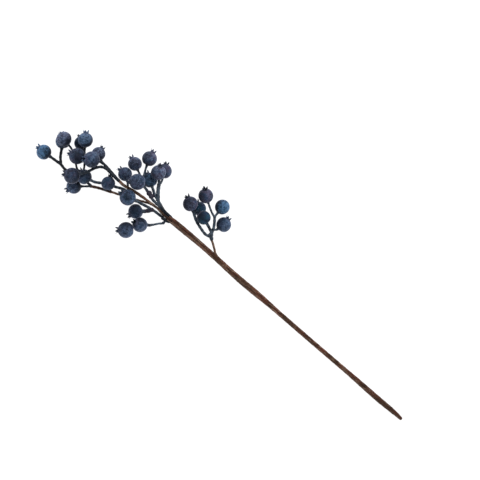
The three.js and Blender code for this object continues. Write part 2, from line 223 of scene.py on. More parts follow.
def new_finish(name):
    """A material with its Principled shader, ready for more nodes."""
    material = bpy.data.materials.new(name)
    material.use_nodes = True
    return material, material.node_tree, material.node_tree.nodes["Principled BSDF"]


def per_mm(size):
    """A texture scale that gives features of about this many millimetres on Object coordinates."""
    return 1.0 / (size * MM)


# %% [markdown]
# ### Powdered berry coat
#
# A foam ball is dipped in matt latex paint, nearly black navy, then dusted
# with a slate blue powder that takes unevenly. So the coat is dull, its
# colour drifts over a few millimetres between near black, navy and plum, and
# its fine grain scatters light at the edge of the ball, which reads as a pale
# bloom. Light and shade are also painted into the coat: faces that look into
# the head are painted dark as shade, faces that look out and a little up are
# painted lighter, and some balls carry a painted dark spot of shade on top.
# Attributes on each berry say how much powder lies there, how far the ball
# leans to plum or to teal, how much painted light or shade each point takes,
# and where the crown, its eye and the fold round its foot are, because the
# real ones differ from berry to berry.

# %% Finish for the berries
UNDERCOAT = "#111a2a"
NAVY = "#304a70"
POWDER = "#8a9cc0"
BLUE_POWDER = "#5e9bd0"
PLUM = "#574765"
TEAL = "#296078"
CROWN_SLATE = "#2c3d4a"
# painted shade for the crown's hollow eye
EYE_SHADE = "#0f141b"
FOOT_LILAC = "#75738f"
SHEEN_BLUE = "#bcc2e2"
LEAN_SUM = 1.8  # where plum is weakest teal is strongest: their two leans add up to this
FOOT_POWDER = 0.55  # how thickly the fold at the crown's foot is filled


def powdered_berry_coat():
    """Undercoat, then paint where it is full and the painted light high, powder, and last the crown's own
    tones.
    """
    material, tree, shader = new_finish("powdered_berry_coat")
    place = add(tree, "ShaderNodeTexCoord").outputs["Object"]
    bloom, plum, teal, crown, eye, foot, painted_light = (
        add(tree, "ShaderNodeAttribute", {"attribute_name": name}).outputs["Fac"]
        for name in ("bloom", "plum", "teal", "crown", "eye", "foot", "painted_light")
    )
    # drifts of paint about 6 mm wide, and cloudy powder broken up at 2.4 mm
    drift = add(tree, "ShaderNodeTexNoise", Vector=place, Scale=per_mm(6.0), Detail=3.0, Roughness=0.5)
    hue_place = add(tree, "ShaderNodeMapping", Vector=place, Location=(0.3, 0.1, 0.2))
    hue = add(tree, "ShaderNodeTexNoise", Vector=hue_place.outputs["Vector"],
              Scale=per_mm(5.0), Detail=2.0, Roughness=0.5)
    cloud = add(tree, "ShaderNodeTexNoise", Vector=place, Scale=per_mm(2.4), Detail=5.0, Roughness=0.68)
    # powder grain, really about 0.05 mm, drawn at 0.8 mm so that it shows
    grain = add(tree, "ShaderNodeTexNoise", Vector=place, Scale=per_mm(0.8), Detail=2.0, Roughness=0.7)
    full = add(tree, "ShaderNodeMapRange", SMOOTH,
               Value=drift.outputs["Fac"], From_Min=0.42, From_Max=0.56, To_Min=0.22)
    # plum gathers where the hue noise is high, teal where it is low
    lean = add(tree, "ShaderNodeMapRange", SMOOTH,
               Value=hue.outputs["Fac"], From_Min=0.43, From_Max=0.56, To_Min=0.1, To_Max=1.7)
    plum_here = add(tree, "ShaderNodeMath", TIMES_CLAMPED, _0=plum, _1=lean.outputs["Result"])
    away = add(tree, "ShaderNodeMath", {"operation": "SUBTRACT"}, _0=LEAN_SUM, _1=lean.outputs["Result"])
    teal_here = add(tree, "ShaderNodeMath", TIMES_CLAMPED, _0=teal, _1=away.outputs[0])
    with_plum = add(tree, "ShaderNodeMix", COLOURS,
                    _0=plum_here.outputs[0], _6=linear(NAVY), _7=linear(PLUM))
    tint = add(tree, "ShaderNodeMix", COLOURS,
               _0=teal_here.outputs[0], _6=with_plum.outputs[2], _7=linear(TEAL))
    # painted shade: the paint gives way to the dark undercoat where painted_light is low
    painted = add(tree, "ShaderNodeMath", TIMES, _0=full.outputs["Result"], _1=painted_light)
    coat = add(tree, "ShaderNodeMix", COLOURS,
               _0=painted.outputs[0], _6=linear(UNDERCOAT), _7=tint.outputs[2])
    dust = add(tree, "ShaderNodeMapRange", SMOOTH,
               Value=cloud.outputs["Fac"], From_Min=0.41, From_Max=0.59, To_Min=0.2, To_Max=1.3)
    amount = add(tree, "ShaderNodeMath", TIMES, _0=dust.outputs["Result"], _1=bloom)
    # the powder fades with the painted light too
    blown = add(tree, "ShaderNodeMath", TIMES, _0=amount.outputs[0], _1=painted_light)
    speck = add(tree, "ShaderNodeMapRange", Value=grain.outputs["Fac"],
                From_Min=0.38, From_Max=0.66, To_Min=0.4, To_Max=1.7)
    sifted = add(tree, "ShaderNodeMath", TIMES_CLAMPED, _0=blown.outputs[0], _1=speck.outputs["Result"])
    powder = add(tree, "ShaderNodeMix", COLOURS, _0=teal, _6=linear(POWDER), _7=linear(BLUE_POWDER))
    dusted = add(tree, "ShaderNodeMix", COLOURS,
                 _0=sifted.outputs[0], _6=coat.outputs[2], _7=powder.outputs[2])
    # powder is caught in the fold at the crown's foot, the points stay slate, less so where much
    # powder fell, and the hollow eye is painted dark as shade
    folded = add(tree, "ShaderNodeMath", TIMES, _0=foot, _1=FOOT_POWDER)
    edged = add(tree, "ShaderNodeMix", COLOURS,
                _0=folded.outputs[0], _6=dusted.outputs[2], _7=linear(FOOT_LILAC))
    bare = add(tree, "ShaderNodeMapRange", Value=bloom, To_Min=0.85, To_Max=0.35)
    shade = add(tree, "ShaderNodeMath", TIMES, _0=crown, _1=bare.outputs["Result"])
    crowned = add(tree, "ShaderNodeMix", COLOURS,
                  _0=shade.outputs[0], _6=edged.outputs[2], _7=linear(CROWN_SLATE))
    whole = add(tree, "ShaderNodeMix", COLOURS, _0=eye, _6=crowned.outputs[2], _7=linear(EYE_SHADE))
    dent = add(tree, "ShaderNodeBump", Height=cloud.outputs["Fac"], Distance=0.25 * MM, Strength=0.3)
    rough = add(tree, "ShaderNodeBump", Height=grain.outputs["Fac"], Distance=0.08 * MM,
                Strength=0.5, Normal=dent.outputs["Normal"])
    tree.links.new(whole.outputs[2], shader.inputs["Base Color"])
    tree.links.new(rough.outputs["Normal"], shader.inputs["Normal"])
    shader.inputs["Roughness"].default_value = 0.7
    shader.inputs["Specular IOR Level"].default_value = 0.3
    shader.inputs["Sheen Weight"].default_value = 0.8
    shader.inputs["Sheen Roughness"].default_value = 0.35
    shader.inputs["Sheen Tint"].default_value = linear(SHEEN_BLUE)
    return material


BERRY_COAT = powdered_berry_coat()

# %% [markdown]
# ### Moulded twig plastic
#
# The twigs are soft polyethylene, moulded dark and brushed with the same blue
# paint. The paint has a slight satin gloss, and where hands held a spray to
# bind it, the paint has rubbed to a pale slate. An attribute says how much
# each place was handled: the sprays near the stem more than those at the tip,
# and some limbs of a spray more than others. Where it is below zero nobody
# touched the limb, and its paint is still thick and dark. A second attribute
# marks the swollen joints, where the moulding was trimmed and shows its own
# plum colour. A third marks the limb of the lowest spray that the wire's
# brown tape runs on over, thin and stretched tight.

# %% Finish for the twigs
TWIG_PAINT = "#2e3a49"
TWIG_WORN = "#74879a"
TWIG_DEEP = "#171c24"
JOINT_PLUM = "#4c3f50"
WRAP_BROWN = "#5b3a28"
THICK_PAINT = -1.6  # how fast the paint thickens below zero handling
WRAP_COVER = 0.85  # how well the stretched tape covers


def moulded_twig_plastic():
    """Paint deep or thin by a fine noise, thick or rubbed by the handling, then joints and tape over it."""
    material, tree, shader = new_finish("moulded_twig_plastic")
    place = add(tree, "ShaderNodeTexCoord").outputs["Object"]
    worn = add(tree, "ShaderNodeTexNoise", Vector=place, Scale=per_mm(3.0), Detail=4.0, Roughness=0.65)
    fine = add(tree, "ShaderNodeTexNoise", Vector=place, Scale=per_mm(0.5), Detail=3.0, Roughness=0.6)
    deep = add(tree, "ShaderNodeMapRange", SMOOTH,
               Value=fine.outputs["Fac"], From_Min=0.25, From_Max=0.62)
    handled = add(tree, "ShaderNodeAttribute", {"attribute_name": "paleness"}).outputs["Fac"]
    patch = add(tree, "ShaderNodeMapRange", SMOOTH,
                Value=worn.outputs["Fac"], From_Min=0.36, From_Max=0.60)
    paleness = add(tree, "ShaderNodeMath", TIMES_CLAMPED, _0=patch.outputs["Result"], _1=handled)
    # the paint that no hand thinned
    thick = add(tree, "ShaderNodeMath", TIMES_CLAMPED, _0=handled, _1=THICK_PAINT)
    paint = add(tree, "ShaderNodeMix", COLOURS,
                _0=deep.outputs["Result"], _6=linear(TWIG_DEEP), _7=linear(TWIG_PAINT))
    thicker = add(tree, "ShaderNodeMix", COLOURS,
                  _0=thick.outputs[0], _6=paint.outputs[2], _7=linear(TWIG_DEEP))
    whole = add(tree, "ShaderNodeMix", COLOURS,
                _0=paleness.outputs[0], _6=thicker.outputs[2], _7=linear(TWIG_WORN))
    joint = add(tree, "ShaderNodeAttribute", {"attribute_name": "joint"}).outputs["Fac"]
    stained = add(tree, "ShaderNodeMath", TIMES, _0=deep.outputs["Result"], _1=joint)
    tinted = add(tree, "ShaderNodeMix", COLOURS,
                 _0=stained.outputs[0], _6=whole.outputs[2], _7=linear(JOINT_PLUM))
    wrapped = add(tree, "ShaderNodeAttribute", {"attribute_name": "wrapped"}).outputs["Fac"]
    film = add(tree, "ShaderNodeMath", TIMES, _0=wrapped, _1=WRAP_COVER)
    taped_over = add(tree, "ShaderNodeMix", COLOURS,
                     _0=film.outputs[0], _6=tinted.outputs[2], _7=linear(WRAP_BROWN))
    grain = add(tree, "ShaderNodeBump", Height=fine.outputs["Fac"], Distance=0.1 * MM, Strength=0.5)
    tree.links.new(taped_over.outputs[2], shader.inputs["Base Color"])
    tree.links.new(grain.outputs["Normal"], shader.inputs["Normal"])
    shader.inputs["Roughness"].default_value = 0.55
    shader.inputs["Specular IOR Level"].default_value = 0.35
    return material


TWIG_PLASTIC = moulded_twig_plastic()

# %% [markdown]
# ### Crepe paper tape
#
# Florist's tape is crinkled paper soaked in wax, brown here, stretched and
# wound in a spiral so that each turn laps the last. Five things show: the
# edge of each turn, a thin dark line; a slow change of brown along the tape,
# where it was stretched more or less; pale worn fibres, which lie along the
# stem where hands drew it through; dark cracks between those fibres; and
# painted shade in the grooves between the wires that press through from inside.
# A pale strand along one side of the stem and of each thin wire is a painted
# highlight, and the other side of each thin wire is painted dark as shade. The
# lap and the crinkle follow the tape's own UV map, in which U counts turns and
# V is the share of the way round. Towards the cut end the tape was handled most
# and is darkest, and on the thin wires between the sleeves it is painted dark
# as the shade there.

# %% Finish for the tape
TAPE_BROWN = "#6b4834"
TAPE_RED = "#884a36"
TAPE_GREY = "#bd9c84"
TAPE_SHADE = "#24150f"
HANDLED_REACH = 0.11  # metres from the cut end over which the tape is darker
HANDLED_DARK = 0.5  # how dark it is at the cut end
CRACK_DARK = 0.7  # and in the cracks
LAP_DARK = 0.6  # and at the edge of each turn
STRAND_PALE = 0.65  # how pale the painted highlight strand is
CRINKLE = 4.5  # gives 14 folds on the way round


def crepe_paper_tape():
    """Brown to red by the stretch, pale where worn, then dark at edges, cracks, grooves and the cut end."""
    material, tree, shader = new_finish("crepe_paper_tape")
    place = add(tree, "ShaderNodeTexCoord").outputs["Object"]
    uv = add(tree, "ShaderNodeUVMap", {"uv_map": "tape"}).outputs["UV"]
    split = add(tree, "ShaderNodeSeparateXYZ", Vector=uv)
    across = add(tree, "ShaderNodeMath", {"operation": "FRACT"}, _0=split.outputs["X"])
    painted_shade = add(tree, "ShaderNodeAttribute", {"attribute_name": "painted_shade"}).outputs["Fac"]
    paleness = add(tree, "ShaderNodeAttribute", {"attribute_name": "paleness"}).outputs["Fac"]
    along = add(tree, "ShaderNodeMapping", Vector=place, Scale=(0.12, 1.0, 1.0))
    stretch = add(tree, "ShaderNodeTexNoise", Vector=place, Scale=per_mm(14.0), Detail=3.0, Roughness=0.6)
    strands = add(tree, "ShaderNodeTexNoise", Vector=along.outputs["Vector"],
                  Scale=per_mm(1.2), Detail=3.0, Roughness=0.6)
    patches = add(tree, "ShaderNodeTexNoise", Vector=place, Scale=per_mm(2.2), Detail=4.0, Roughness=0.7)
    # dark cracks between the fibres, really about 0.3 mm wide, drawn at 1.3 mm so that they show
    apart = add(tree, "ShaderNodeMapping", Vector=place, Scale=(0.2, 1.0, 1.0), Location=(0.4, 0.2, 0.1))
    cracks = add(tree, "ShaderNodeTexNoise", Vector=apart.outputs["Vector"],
                 Scale=per_mm(1.3), Detail=4.0, Roughness=0.7)
    fibre = add(tree, "ShaderNodeTexNoise", Vector=place, Scale=per_mm(0.6), Detail=3.0, Roughness=0.7)
    # the paper's crinkle, really about 0.5 mm, drawn at about 1 mm so that it shows
    crinkle = add(tree, "ShaderNodeTexWave", {"wave_type": "BANDS", "bands_direction": "Y"},
                  Vector=uv, Scale=CRINKLE, Distortion=3.0, Detail=3.0, Detail_Scale=1.5)
    red = add(tree, "ShaderNodeMapRange", SMOOTH,
              Value=stretch.outputs["Fac"], From_Min=0.38, From_Max=0.66)
    base = add(tree, "ShaderNodeMix", COLOURS,
               _0=red.outputs["Result"], _6=linear(TAPE_BROWN), _7=linear(TAPE_RED))
    # worn fibres: streaks along the stem where the patch noise lets them show
    streak = add(tree, "ShaderNodeMapRange", SMOOTH,
                 Value=strands.outputs["Fac"], From_Min=0.46, From_Max=0.60)
    patch = add(tree, "ShaderNodeMapRange", SMOOTH,
                Value=patches.outputs["Fac"], From_Min=0.42, From_Max=0.60, To_Min=0.15)
    worn = add(tree, "ShaderNodeMath", TIMES, _0=streak.outputs["Result"], _1=patch.outputs["Result"])
    # painted highlight: a pale strand along one side of the stem and of each thin wire
    pale_strand = add(tree, "ShaderNodeMath", TIMES, _0=paleness, _1=STRAND_PALE)
    pale = add(tree, "ShaderNodeMath", PLUS_CLAMPED, _0=worn.outputs[0], _1=pale_strand.outputs[0])
    faded = add(tree, "ShaderNodeMix", COLOURS,
                _0=pale.outputs[0], _6=base.outputs[2], _7=linear(TAPE_GREY))
    edge = add(tree, "ShaderNodeMapRange", SMOOTH,
               Value=across.outputs[0], From_Min=0.0, From_Max=0.09, To_Min=LAP_DARK, To_Max=0.0)
    pits = add(tree, "ShaderNodeMapRange", SMOOTH,
               Value=cracks.outputs["Fac"], From_Min=0.40, From_Max=0.56, To_Min=CRACK_DARK, To_Max=0.0)
    near_end = add(tree, "ShaderNodeSeparateXYZ", Vector=place)
    handled = add(tree, "ShaderNodeMapRange", Value=near_end.outputs["X"], From_Min=float(CUT_END[0]),
                  From_Max=float(CUT_END[0]) + HANDLED_REACH, To_Min=HANDLED_DARK, To_Max=0.0)
    lines = add(tree, "ShaderNodeMath", LARGER, _0=edge.outputs["Result"], _1=pits.outputs["Result"])
    # painted shade: the grooves between the ridges, the shaded side of each thin wire and the wires between
    # the sleeves
    lines_and_shade = add(tree, "ShaderNodeMath", LARGER, _0=lines.outputs[0], _1=painted_shade)
    dark = add(tree, "ShaderNodeMath", LARGER, _0=lines_and_shade.outputs[0], _1=handled.outputs["Result"])
    whole = add(tree, "ShaderNodeMix", COLOURS,
                _0=dark.outputs[0], _6=faded.outputs[2], _7=linear(TAPE_SHADE))
    fold = add(tree, "ShaderNodeBump", Height=crinkle.outputs["Fac"], Distance=0.15 * MM, Strength=0.6)
    nap = add(tree, "ShaderNodeBump", Height=fibre.outputs["Fac"], Distance=0.1 * MM,
              Strength=0.6, Normal=fold.outputs["Normal"])
    tree.links.new(whole.outputs[2], shader.inputs["Base Color"])
    tree.links.new(nap.outputs["Normal"], shader.inputs["Normal"])
    shader.inputs["Roughness"].default_value = 0.7
    shader.inputs["Specular IOR Level"].default_value = 0.3
    return material


TAPE = crepe_paper_tape()

# %% [markdown]
# ### Annealed iron wire
#
# The wires are soft black-annealed iron. They show only as small discs at
# the stem's cut end. Their other ends are inside the sleeves of the sprays.

# %% Finish for bare wire
WIRE_IRON = "#5d5b58"
WIRE_RUST = "#4a3428"


def annealed_iron_wire():
    """Grey iron, with rust where a fine noise is high."""
    material, tree, shader = new_finish("annealed_iron_wire")
    place = add(tree, "ShaderNodeTexCoord").outputs["Object"]
    spots = add(tree, "ShaderNodeTexNoise", Vector=place, Scale=per_mm(0.6), Detail=4.0, Roughness=0.7)
    rust = add(tree, "ShaderNodeMapRange", SMOOTH,
               Value=spots.outputs["Fac"], From_Min=0.5, From_Max=0.7)
    colour = add(tree, "ShaderNodeMix", COLOURS,
                 _0=rust.outputs["Result"], _6=linear(WIRE_IRON), _7=linear(WIRE_RUST))
    tree.links.new(colour.outputs[2], shader.inputs["Base Color"])
    shader.inputs["Metallic"].default_value = 0.85
    shader.inputs["Roughness"].default_value = 0.5
    return material


IRON = annealed_iron_wire()
print("finishes:", [finish.name for finish in (BERRY_COAT, TWIG_PLASTIC, TAPE, IRON)])

# %% [markdown]
# ## Surfaces on a grid
#
# Nearly everything on the sprig is round in section: a ball, a twig, a taped
# wire. So one helper takes a grid of points, with rows along the piece and
# columns round it, and closes it at both ends with a single point. The
# surface then has no holes and no seam, and its faces point outwards.


# %% From a grid to a closed mesh
def closed_grid(points):
    """Quads between the rows, columns wrapping round, and a fan at each end to the mean of its row."""
    rows, columns = points.shape[:2]
    index = np.arange(rows * columns).reshape(rows, columns)
    ahead = np.roll(index, -1, axis=1)
    quads = np.stack([index[:-1], ahead[:-1], ahead[1:], index[1:]], axis=-1).reshape(-1, 4)
    ends = np.array([points[0].mean(axis=0), points[-1].mean(axis=0)])
    first, last = rows * columns, rows * columns + 1
    low = np.stack([np.full(columns, first), ahead[0], index[0]], axis=-1)
    high = np.stack([np.full(columns, last), index[-1], ahead[-1]], axis=-1)
    return np.vstack([points.reshape(-1, 3), ends]), quads, np.vstack([low, high])


def new_piece(name, parts, finish, smooth=True):
    """One mesh from several closed grids, given in millimetres, placed in the frame's metres."""
    places, faces, start = [], [], 0
    for points, quads, fans in parts:
        places.append(points)
        faces += (quads + start).tolist() + (fans + start).tolist()
        start += len(points)
    mesh = bpy.data.meshes.new(name)
    mesh.from_pydata(to_frame(np.vstack(places)).tolist(), [], faces)
    mesh.polygons.foreach_set("use_smooth", np.full(len(mesh.polygons), smooth))
    mesh.materials.append(finish)
    mesh.update()
    piece = bpy.data.objects.new(name, mesh)
    scene.collection.objects.link(piece)
    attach(piece, "root")
    return piece


def clamp_to_table(points):
    """Nothing goes through the table: points below it are brought up to it."""
    points = points.copy()
    points[..., 2] = np.maximum(points[..., 2], 0.0)
    return points


# %% [markdown]
# ## The berries
#
# A real berry of this kind is a foam ball of 12 to 14 mm. Its crown is a ring
# of five little points round a hollow eye, left from the flower. Modelling
# the crown as separate cones would leave hard seams, so ball, crown and eye
# are one surface here: a profile turned about the stalk's line, whose height
# at the crown rises and falls five times on its way round.

# %% The ball
SMALL = 5.9  # this and the next two are radii
MIDDLE = 6.3
LARGE = 6.85
FLAT_SINK = 0.5  # how far the lowest berries are pressed flat by the table
SWELLS = (0.010, 0.008, 0.007)  # of the two, three and five waves round the ball, as shares of its radius
STALK_ANGLE = 0.06  # where the ball starts, just off the stalk's line
STALK_DIP = 0.1  # depth of the dimple at the stalk, as a share of the radius
STALK_DIP_ANGLE = 0.3
BODY_ROWS = 30

# %% The crown and its eye
LOBES = 5
COLUMNS_PER_LOBE = 14
FIRST_LOBE = 0.25  # where the first point's middle lies, in widths of a point
CROWN_ROWS = 8
CROWN_FOOT = 0.36  # radius of the crown's foot, as a share of the berry's
LOBE_RISE = 2.7  # of the points above the foot
WEB_RISE = 0.35  # of the crown between two points
LOBE_SHARE = 0.95  # how much of the way round the points take up
LOBE_POWER = 0.8  # below 1 the points are fuller than triangles
LOBE_SPREAD = 0.35  # how far a point leans out
LOBE_TALLER = (-0.22, 0.12)  # the points differ in height by shares between these
LOBE_LOOSER = (-0.5, 0.6)  # and in lean by these
WAIST = 0.22  # how far the crown is drawn in over its foot
WAIST_WAVES = 1.6  # half waves to the rise, of which the waist is the first
WALL = 0.6  # thickness at the crown's foot
WALL_THINNED = 0.6  # share that the wall loses at a point's tip
INSIDE_TAPER = 0.1  # by how much the inside narrows to its bottom
RIM_DROP = 0.05  # the rim's inner edge lies this much lower
EYE_ROWS = 7
EYE_BOWL = (0.85, 0.12)  # the bowl's widest and narrowest ring, as shares of the crown's inside
EYE_DEPTH = 1.0
EYE_STUB = 0.35  # height of the stub in the middle of the eye
EYE_STUB_SHARE = 0.3  # its width, as a share of the crown's inside

# %% Where the coat changes on the crown
CROWN_FADE = 0.7  # the coat turns to the crown's slate over this height above the foot
FOOT_FOLD = 0.45  # half width of the pale fold round the crown's foot
# how dark the painted shade at the bottom of the hollow eye is
EYE_TONE = 0.9
EYE_EDGE = (0.3, 0.6, 0.8)  # painted shade of the last rows of the inside, darkening on the way down to the eye


# %% One berry as a profile turned about its stalk
def berry_points(radius, random):
    """A ball whose radius varies by three slow waves, then the crown's outside, rim, inside and eye.

    Body: r = R sin(a), z = -R cos(a), with a from the stalk to the crown's foot, and a bell-shaped
    dimple at the stalk.
    Crown: the outside rises from the foot to H(turn), leaning out with the square of the rise,
    and the inside comes back down a wall's thickness nearer the middle, to a shallow bowl.
    H(turn) is the web's rise plus a peak: one minus the distance from its middle, to LOBE_POWER.
    """
    turn = 2 * np.pi * (np.arange(LOBES * COLUMNS_PER_LOBE) / COLUMNS_PER_LOBE + FIRST_LOBE) / LOBES
    from_first = turn * LOBES / (2 * np.pi) - FIRST_LOBE
    from_lobe = np.abs((from_first + 0.5) % 1 - 0.5) * 2 / LOBE_SHARE
    which = np.round(from_first).astype(int) % LOBES
    tall = (1 + random.uniform(*LOBE_TALLER, LOBES))[which]
    lean = (1 + random.uniform(*LOBE_LOOSER, LOBES))[which]
    peak = np.clip(1 - from_lobe, 0, 1) ** LOBE_POWER
    rise = WEB_RISE + (LOBE_RISE - WEB_RISE) * peak * tall

    foot_angle = math.pi - math.asin(CROWN_FOOT)
    down = np.linspace(STALK_ANGLE, foot_angle, BODY_ROWS)[:, None]
    wave = random.uniform(0, 2 * np.pi, 3)
    swell = 1 + SWELLS[0] * np.sin(2 * turn + wave[0]) * np.sin(down) ** 2
    swell = swell + SWELLS[1] * np.sin(3 * turn + wave[1]) * np.sin(2 * down)
    swell = swell + SWELLS[2] * np.sin(5 * turn + wave[2]) * np.sin(down) ** 3
    dip = STALK_DIP * np.exp(-((down / STALK_DIP_ANGLE) ** 2))
    body_r = radius * np.sin(down) * swell
    body_z = radius * (dip - np.cos(down)) + 0 * turn
    foot_r, foot_z = body_r[-1], body_z[-1]

    up = (np.arange(1, CROWN_ROWS + 1) / CROWN_ROWS)[:, None]
    waist = WAIST * np.sin(np.pi * np.clip(up * WAIST_WAVES, 0, 1))
    out_r = foot_r - waist + LOBE_SPREAD * lean * peak * up**2
    out_z = foot_z + rise * up
    back = np.linspace(1, 0, CROWN_ROWS)[:, None]
    wall = WALL * (1 - WALL_THINNED * back * peak)
    in_r = foot_r - wall + LOBE_SPREAD * lean * peak * back**2 - INSIDE_TAPER * (1 - back)
    in_z = foot_z + rise * back - RIM_DROP
    bowl = np.linspace(*EYE_BOWL, EYE_ROWS)[:, None]
    eye_r = in_r[-1] * bowl
    eye_z = foot_z - EYE_DEPTH * (1 - bowl**4) + EYE_STUB * np.exp(-((bowl / EYE_STUB_SHARE) ** 2))
    r = np.vstack([body_r, out_r, in_r, eye_r])
    z = np.vstack([body_z, out_z, in_z, eye_z + 0 * turn])
    points = np.stack([r * np.cos(turn), r * np.sin(turn), z], axis=-1)
    crown = np.clip((z - foot_z) / CROWN_FADE, 0, 1)
    crown[-EYE_ROWS - CROWN_ROWS :] = 1.0
    eye = np.zeros_like(z)
    eye[-EYE_ROWS:] = EYE_TONE
    eye[-EYE_ROWS - len(EYE_EDGE) : -EYE_ROWS] = np.array(EYE_EDGE)[:, None]
    foot = np.exp(-(((z - foot_z) / FOOT_FOLD) ** 2))
    foot[-EYE_ROWS - CROWN_ROWS :] = 0.0
    return points, {"crown": crown, "eye": eye, "foot": foot}


def turned_to(points, bearing, rise):
    """Turns +Z to the crown's way: first a tilt about Y, then a turn about Z."""
    tilt, spin = math.radians(90 - rise), math.radians(bearing)
    low, high = math.cos(tilt), math.sin(tilt)
    about_y = np.array([[low, 0, high], [0, 1, 0], [-high, 0, low]])
    ahead, aside = math.cos(spin), math.sin(spin)
    about_z = np.array([[ahead, -aside, 0], [aside, ahead, 0], [0, 0, 1]])
    return points @ (about_z @ about_y).T


trial, _ = berry_points(MIDDLE, np.random.default_rng(1))
crown_tip = float(trial[..., 2].max() - MIDDLE)
print("one berry:", trial.shape, "points, crown tip", round(crown_tip, 2), "mm proud")

# %% [markdown]
# ## Where each berry sits
#
# Each entry is the middle of the berry, its radius, and the way its crown
# looks: a bearing from the stem's line round to the left, and a rise above
# the table. Three numbers follow for the coat: how much powder it took, and
# how far its navy leans to plum and to teal. At 0 no powder shows, and at 1
# its thickest clouds hide the paint.

# %% The five sprays' berries
BERRIES = {
    "side": {
        "high": ((247, -35, 17), MIDDLE, -44, 35, (0.3, 0.95, 0)),
        "inner": ((252.5, -21.5, 16), MIDDLE, -26, 15, (0.3, 1, 0)),
        "bright": ((230.5, -37, 12.5), MIDDLE, -87, -60, (1, 0, 0.7)),
        "outer": ((220, -26.5, 11), MIDDLE, -86, 10, (0.5, 0.05, 0.2)),
        "low": ((244.5, -23.3, SMALL - FLAT_SINK), SMALL, -29, 0, (0.15, 0, 1)),
        "middle": ((236.5, -20, 14.5), SMALL, -9, 10, (0.1, 0, 0.75)),
    },
    "centre_upper": {
        "far": ((303.5, -28, 10), MIDDLE, -77, 5, (0.5, 0.55, 0)),
        "fore": ((310, -16.7, 9), SMALL, -21, 5, (0.65, 0.45, 0)),
        "front": ((297.9, -6.7, 20.3), LARGE, 36, -8, (0.55, 0.35, 0.1)),
        "top": ((289.7, -24, 18.8), MIDDLE, -67, 30, (0.65, 0.55, 0)),
        "under": ((287.3, -28.2, MIDDLE - FLAT_SINK), MIDDLE, -63, 5, (0.25, 0.45, 0)),
        "dark": ((291.6, -14.5, 8), MIDDLE, -24, 5, (0.6, 0, 0.5)),
    },
    "centre_lower": {
        "front": ((295.7, 8.5, 18.3), LARGE, 4, 20, (0.65, 0.25, 0.3)),
        "low": ((283.7, 13.3, MIDDLE - FLAT_SINK), MIDDLE, 73, 5, (0.25, 0.15, 0.2)),
        "facing": ((273.3, 19.4, 11), MIDDLE, 15, 42, (0.6, 0.1, 0.1)),
        "outer": ((279.2, 30.2, 17), LARGE, 41, 5, (0.45, 0.15, 0.2)),
        "upper": ((310.5, -4.8, 12), SMALL, -4, 5, (0.45, 0.25, 0.15)),
        "end": ((335, 19.2, 12.2), MIDDLE, -14, 10, (0.35, 0.15, 0.2)),
    },
    "tip_upper": {
        "big": ((350.3, 9.8, 18.3), LARGE, 18, 10, (0.4, 0.5, 0.05)),
        "front": ((338.7, 3.9, 24.5), LARGE, 41, 33, (0.5, 0.25, 0.1)),
        "back": ((338.6, -3.1, 11), SMALL, -82, 5, (0.9, 0.4, 0)),
        "over": ((342.5, 25, 22), LARGE, 26, 10, (0.3, 0.5, 0)),
    },
    "tip_lower": {
        "tip": ((374.3, 25.5, 12), MIDDLE, -1, 10, (1.7, 0, 0.7)),
        "above": ((368, 6, 18.6), MIDDLE, 4, -50, (0.8, 0.45, 0)),
        "below": ((368.7, 8.4, MIDDLE - FLAT_SINK), MIDDLE, -39, -3, (0.6, 0, 0.45)),
        "right": ((353.8, -5, 18.3), MIDDLE, -54, 10, (0.95, 0, 0.3)),
        "left": ((337, 31.2, MIDDLE - FLAT_SINK), MIDDLE, 70, 5, (0.7, 0.2, 0.25)),
        "hidden": ((356, -0.4, SMALL - FLAT_SINK), SMALL, -39, 0, (0.05, 0.05, 0.2)),
        "first": ((316, 10.3, 14), SMALL, -67, 0, (0.3, 0.3, 0.15)),
    },
}


# %% Tones that vary over a mesh
def smooth_share(value, low, high):
    """0 below low, 1 above high, and the cubic 3 t t - 2 t t t between."""
    t = np.clip((value - low) / (high - low), 0, 1)
    return t * t * (3 - 2 * t)


def set_tone(piece, name, values):
    """A number for each point of the mesh, which the finish reads by name."""
    attribute = piece.data.attributes.new(name, "FLOAT", "POINT")
    attribute.data.foreach_set("value", np.concatenate(values).astype(np.float32))


# %% Painted light and shade on the berries
HEAD_MIDDLE = np.array([307.0, -1.0, 12.0])  # of all the sprays together
CLOSED, OPEN = -0.8, 0.85  # what openness() makes nothing and all of
FULLY_OUT = 45.0  # millimetres from the head's middle at which a berry has an open and a closed side
FROM_ABOVE = [0.0, 0.0, 0.25]  # painted light from above: the tops are a little lighter

TOP_SHADE = {  # how dark a spot of painted shade is on the top of each ball
    "side": {"middle": 0.5},
    "centre_upper": {"fore": 0.45, "front": 0.25},
    "centre_lower": {"front": 0.7, "low": 0.6},
    "tip_upper": {"big": 0.8},
}
TOP_SHADE_SPAN = (0.72, 1.0)  # from where to where up the ball, as shares of its radius

PALE_CROWNS = {  # how far the powder covers the crown too
    "side": {"outer": 0.8, "high": 0.3, "inner": 0.3},
    "centre_upper": {"far": 0.8, "fore": 0.7, "front": 0.9},
    "centre_lower": {"upper": 0.4},
    "tip_upper": {"big": 0.5, "front": 0.95},
    "tip_lower": {"tip": 0.6, "right": 0.9},
}


def openness(points, at):
    """Painted light and shade: how far each point looks away from the head, the way it looks
    dotted with the way out and a little of straight up, stretched over a smooth step from closed to open."""
    looks = points - np.array(at)
    looks /= np.linalg.norm(looks, axis=-1, keepdims=True)
    out = (np.array(at) - HEAD_MIDDLE) / FULLY_OUT
    out /= max(1.0, np.linalg.norm(out))
    return smooth_share(looks @ (out + FROM_ABOVE), CLOSED, OPEN)


def painted_top_shade(points, at, radius, top_shade_strength):
    """Painted shade: a soft dark spot on the ball's top."""
    return top_shade_strength * smooth_share((points[:, 2] - at[2]) / radius, *TOP_SHADE_SPAN)


# %% Build the berries, one piece for each spray
BERRY_SEED = 40
COAT_TONES = ("bloom", "plum", "teal")  # one number for each berry
PLACE_TONES = ("crown", "eye", "foot", "painted_light")  # one for each point


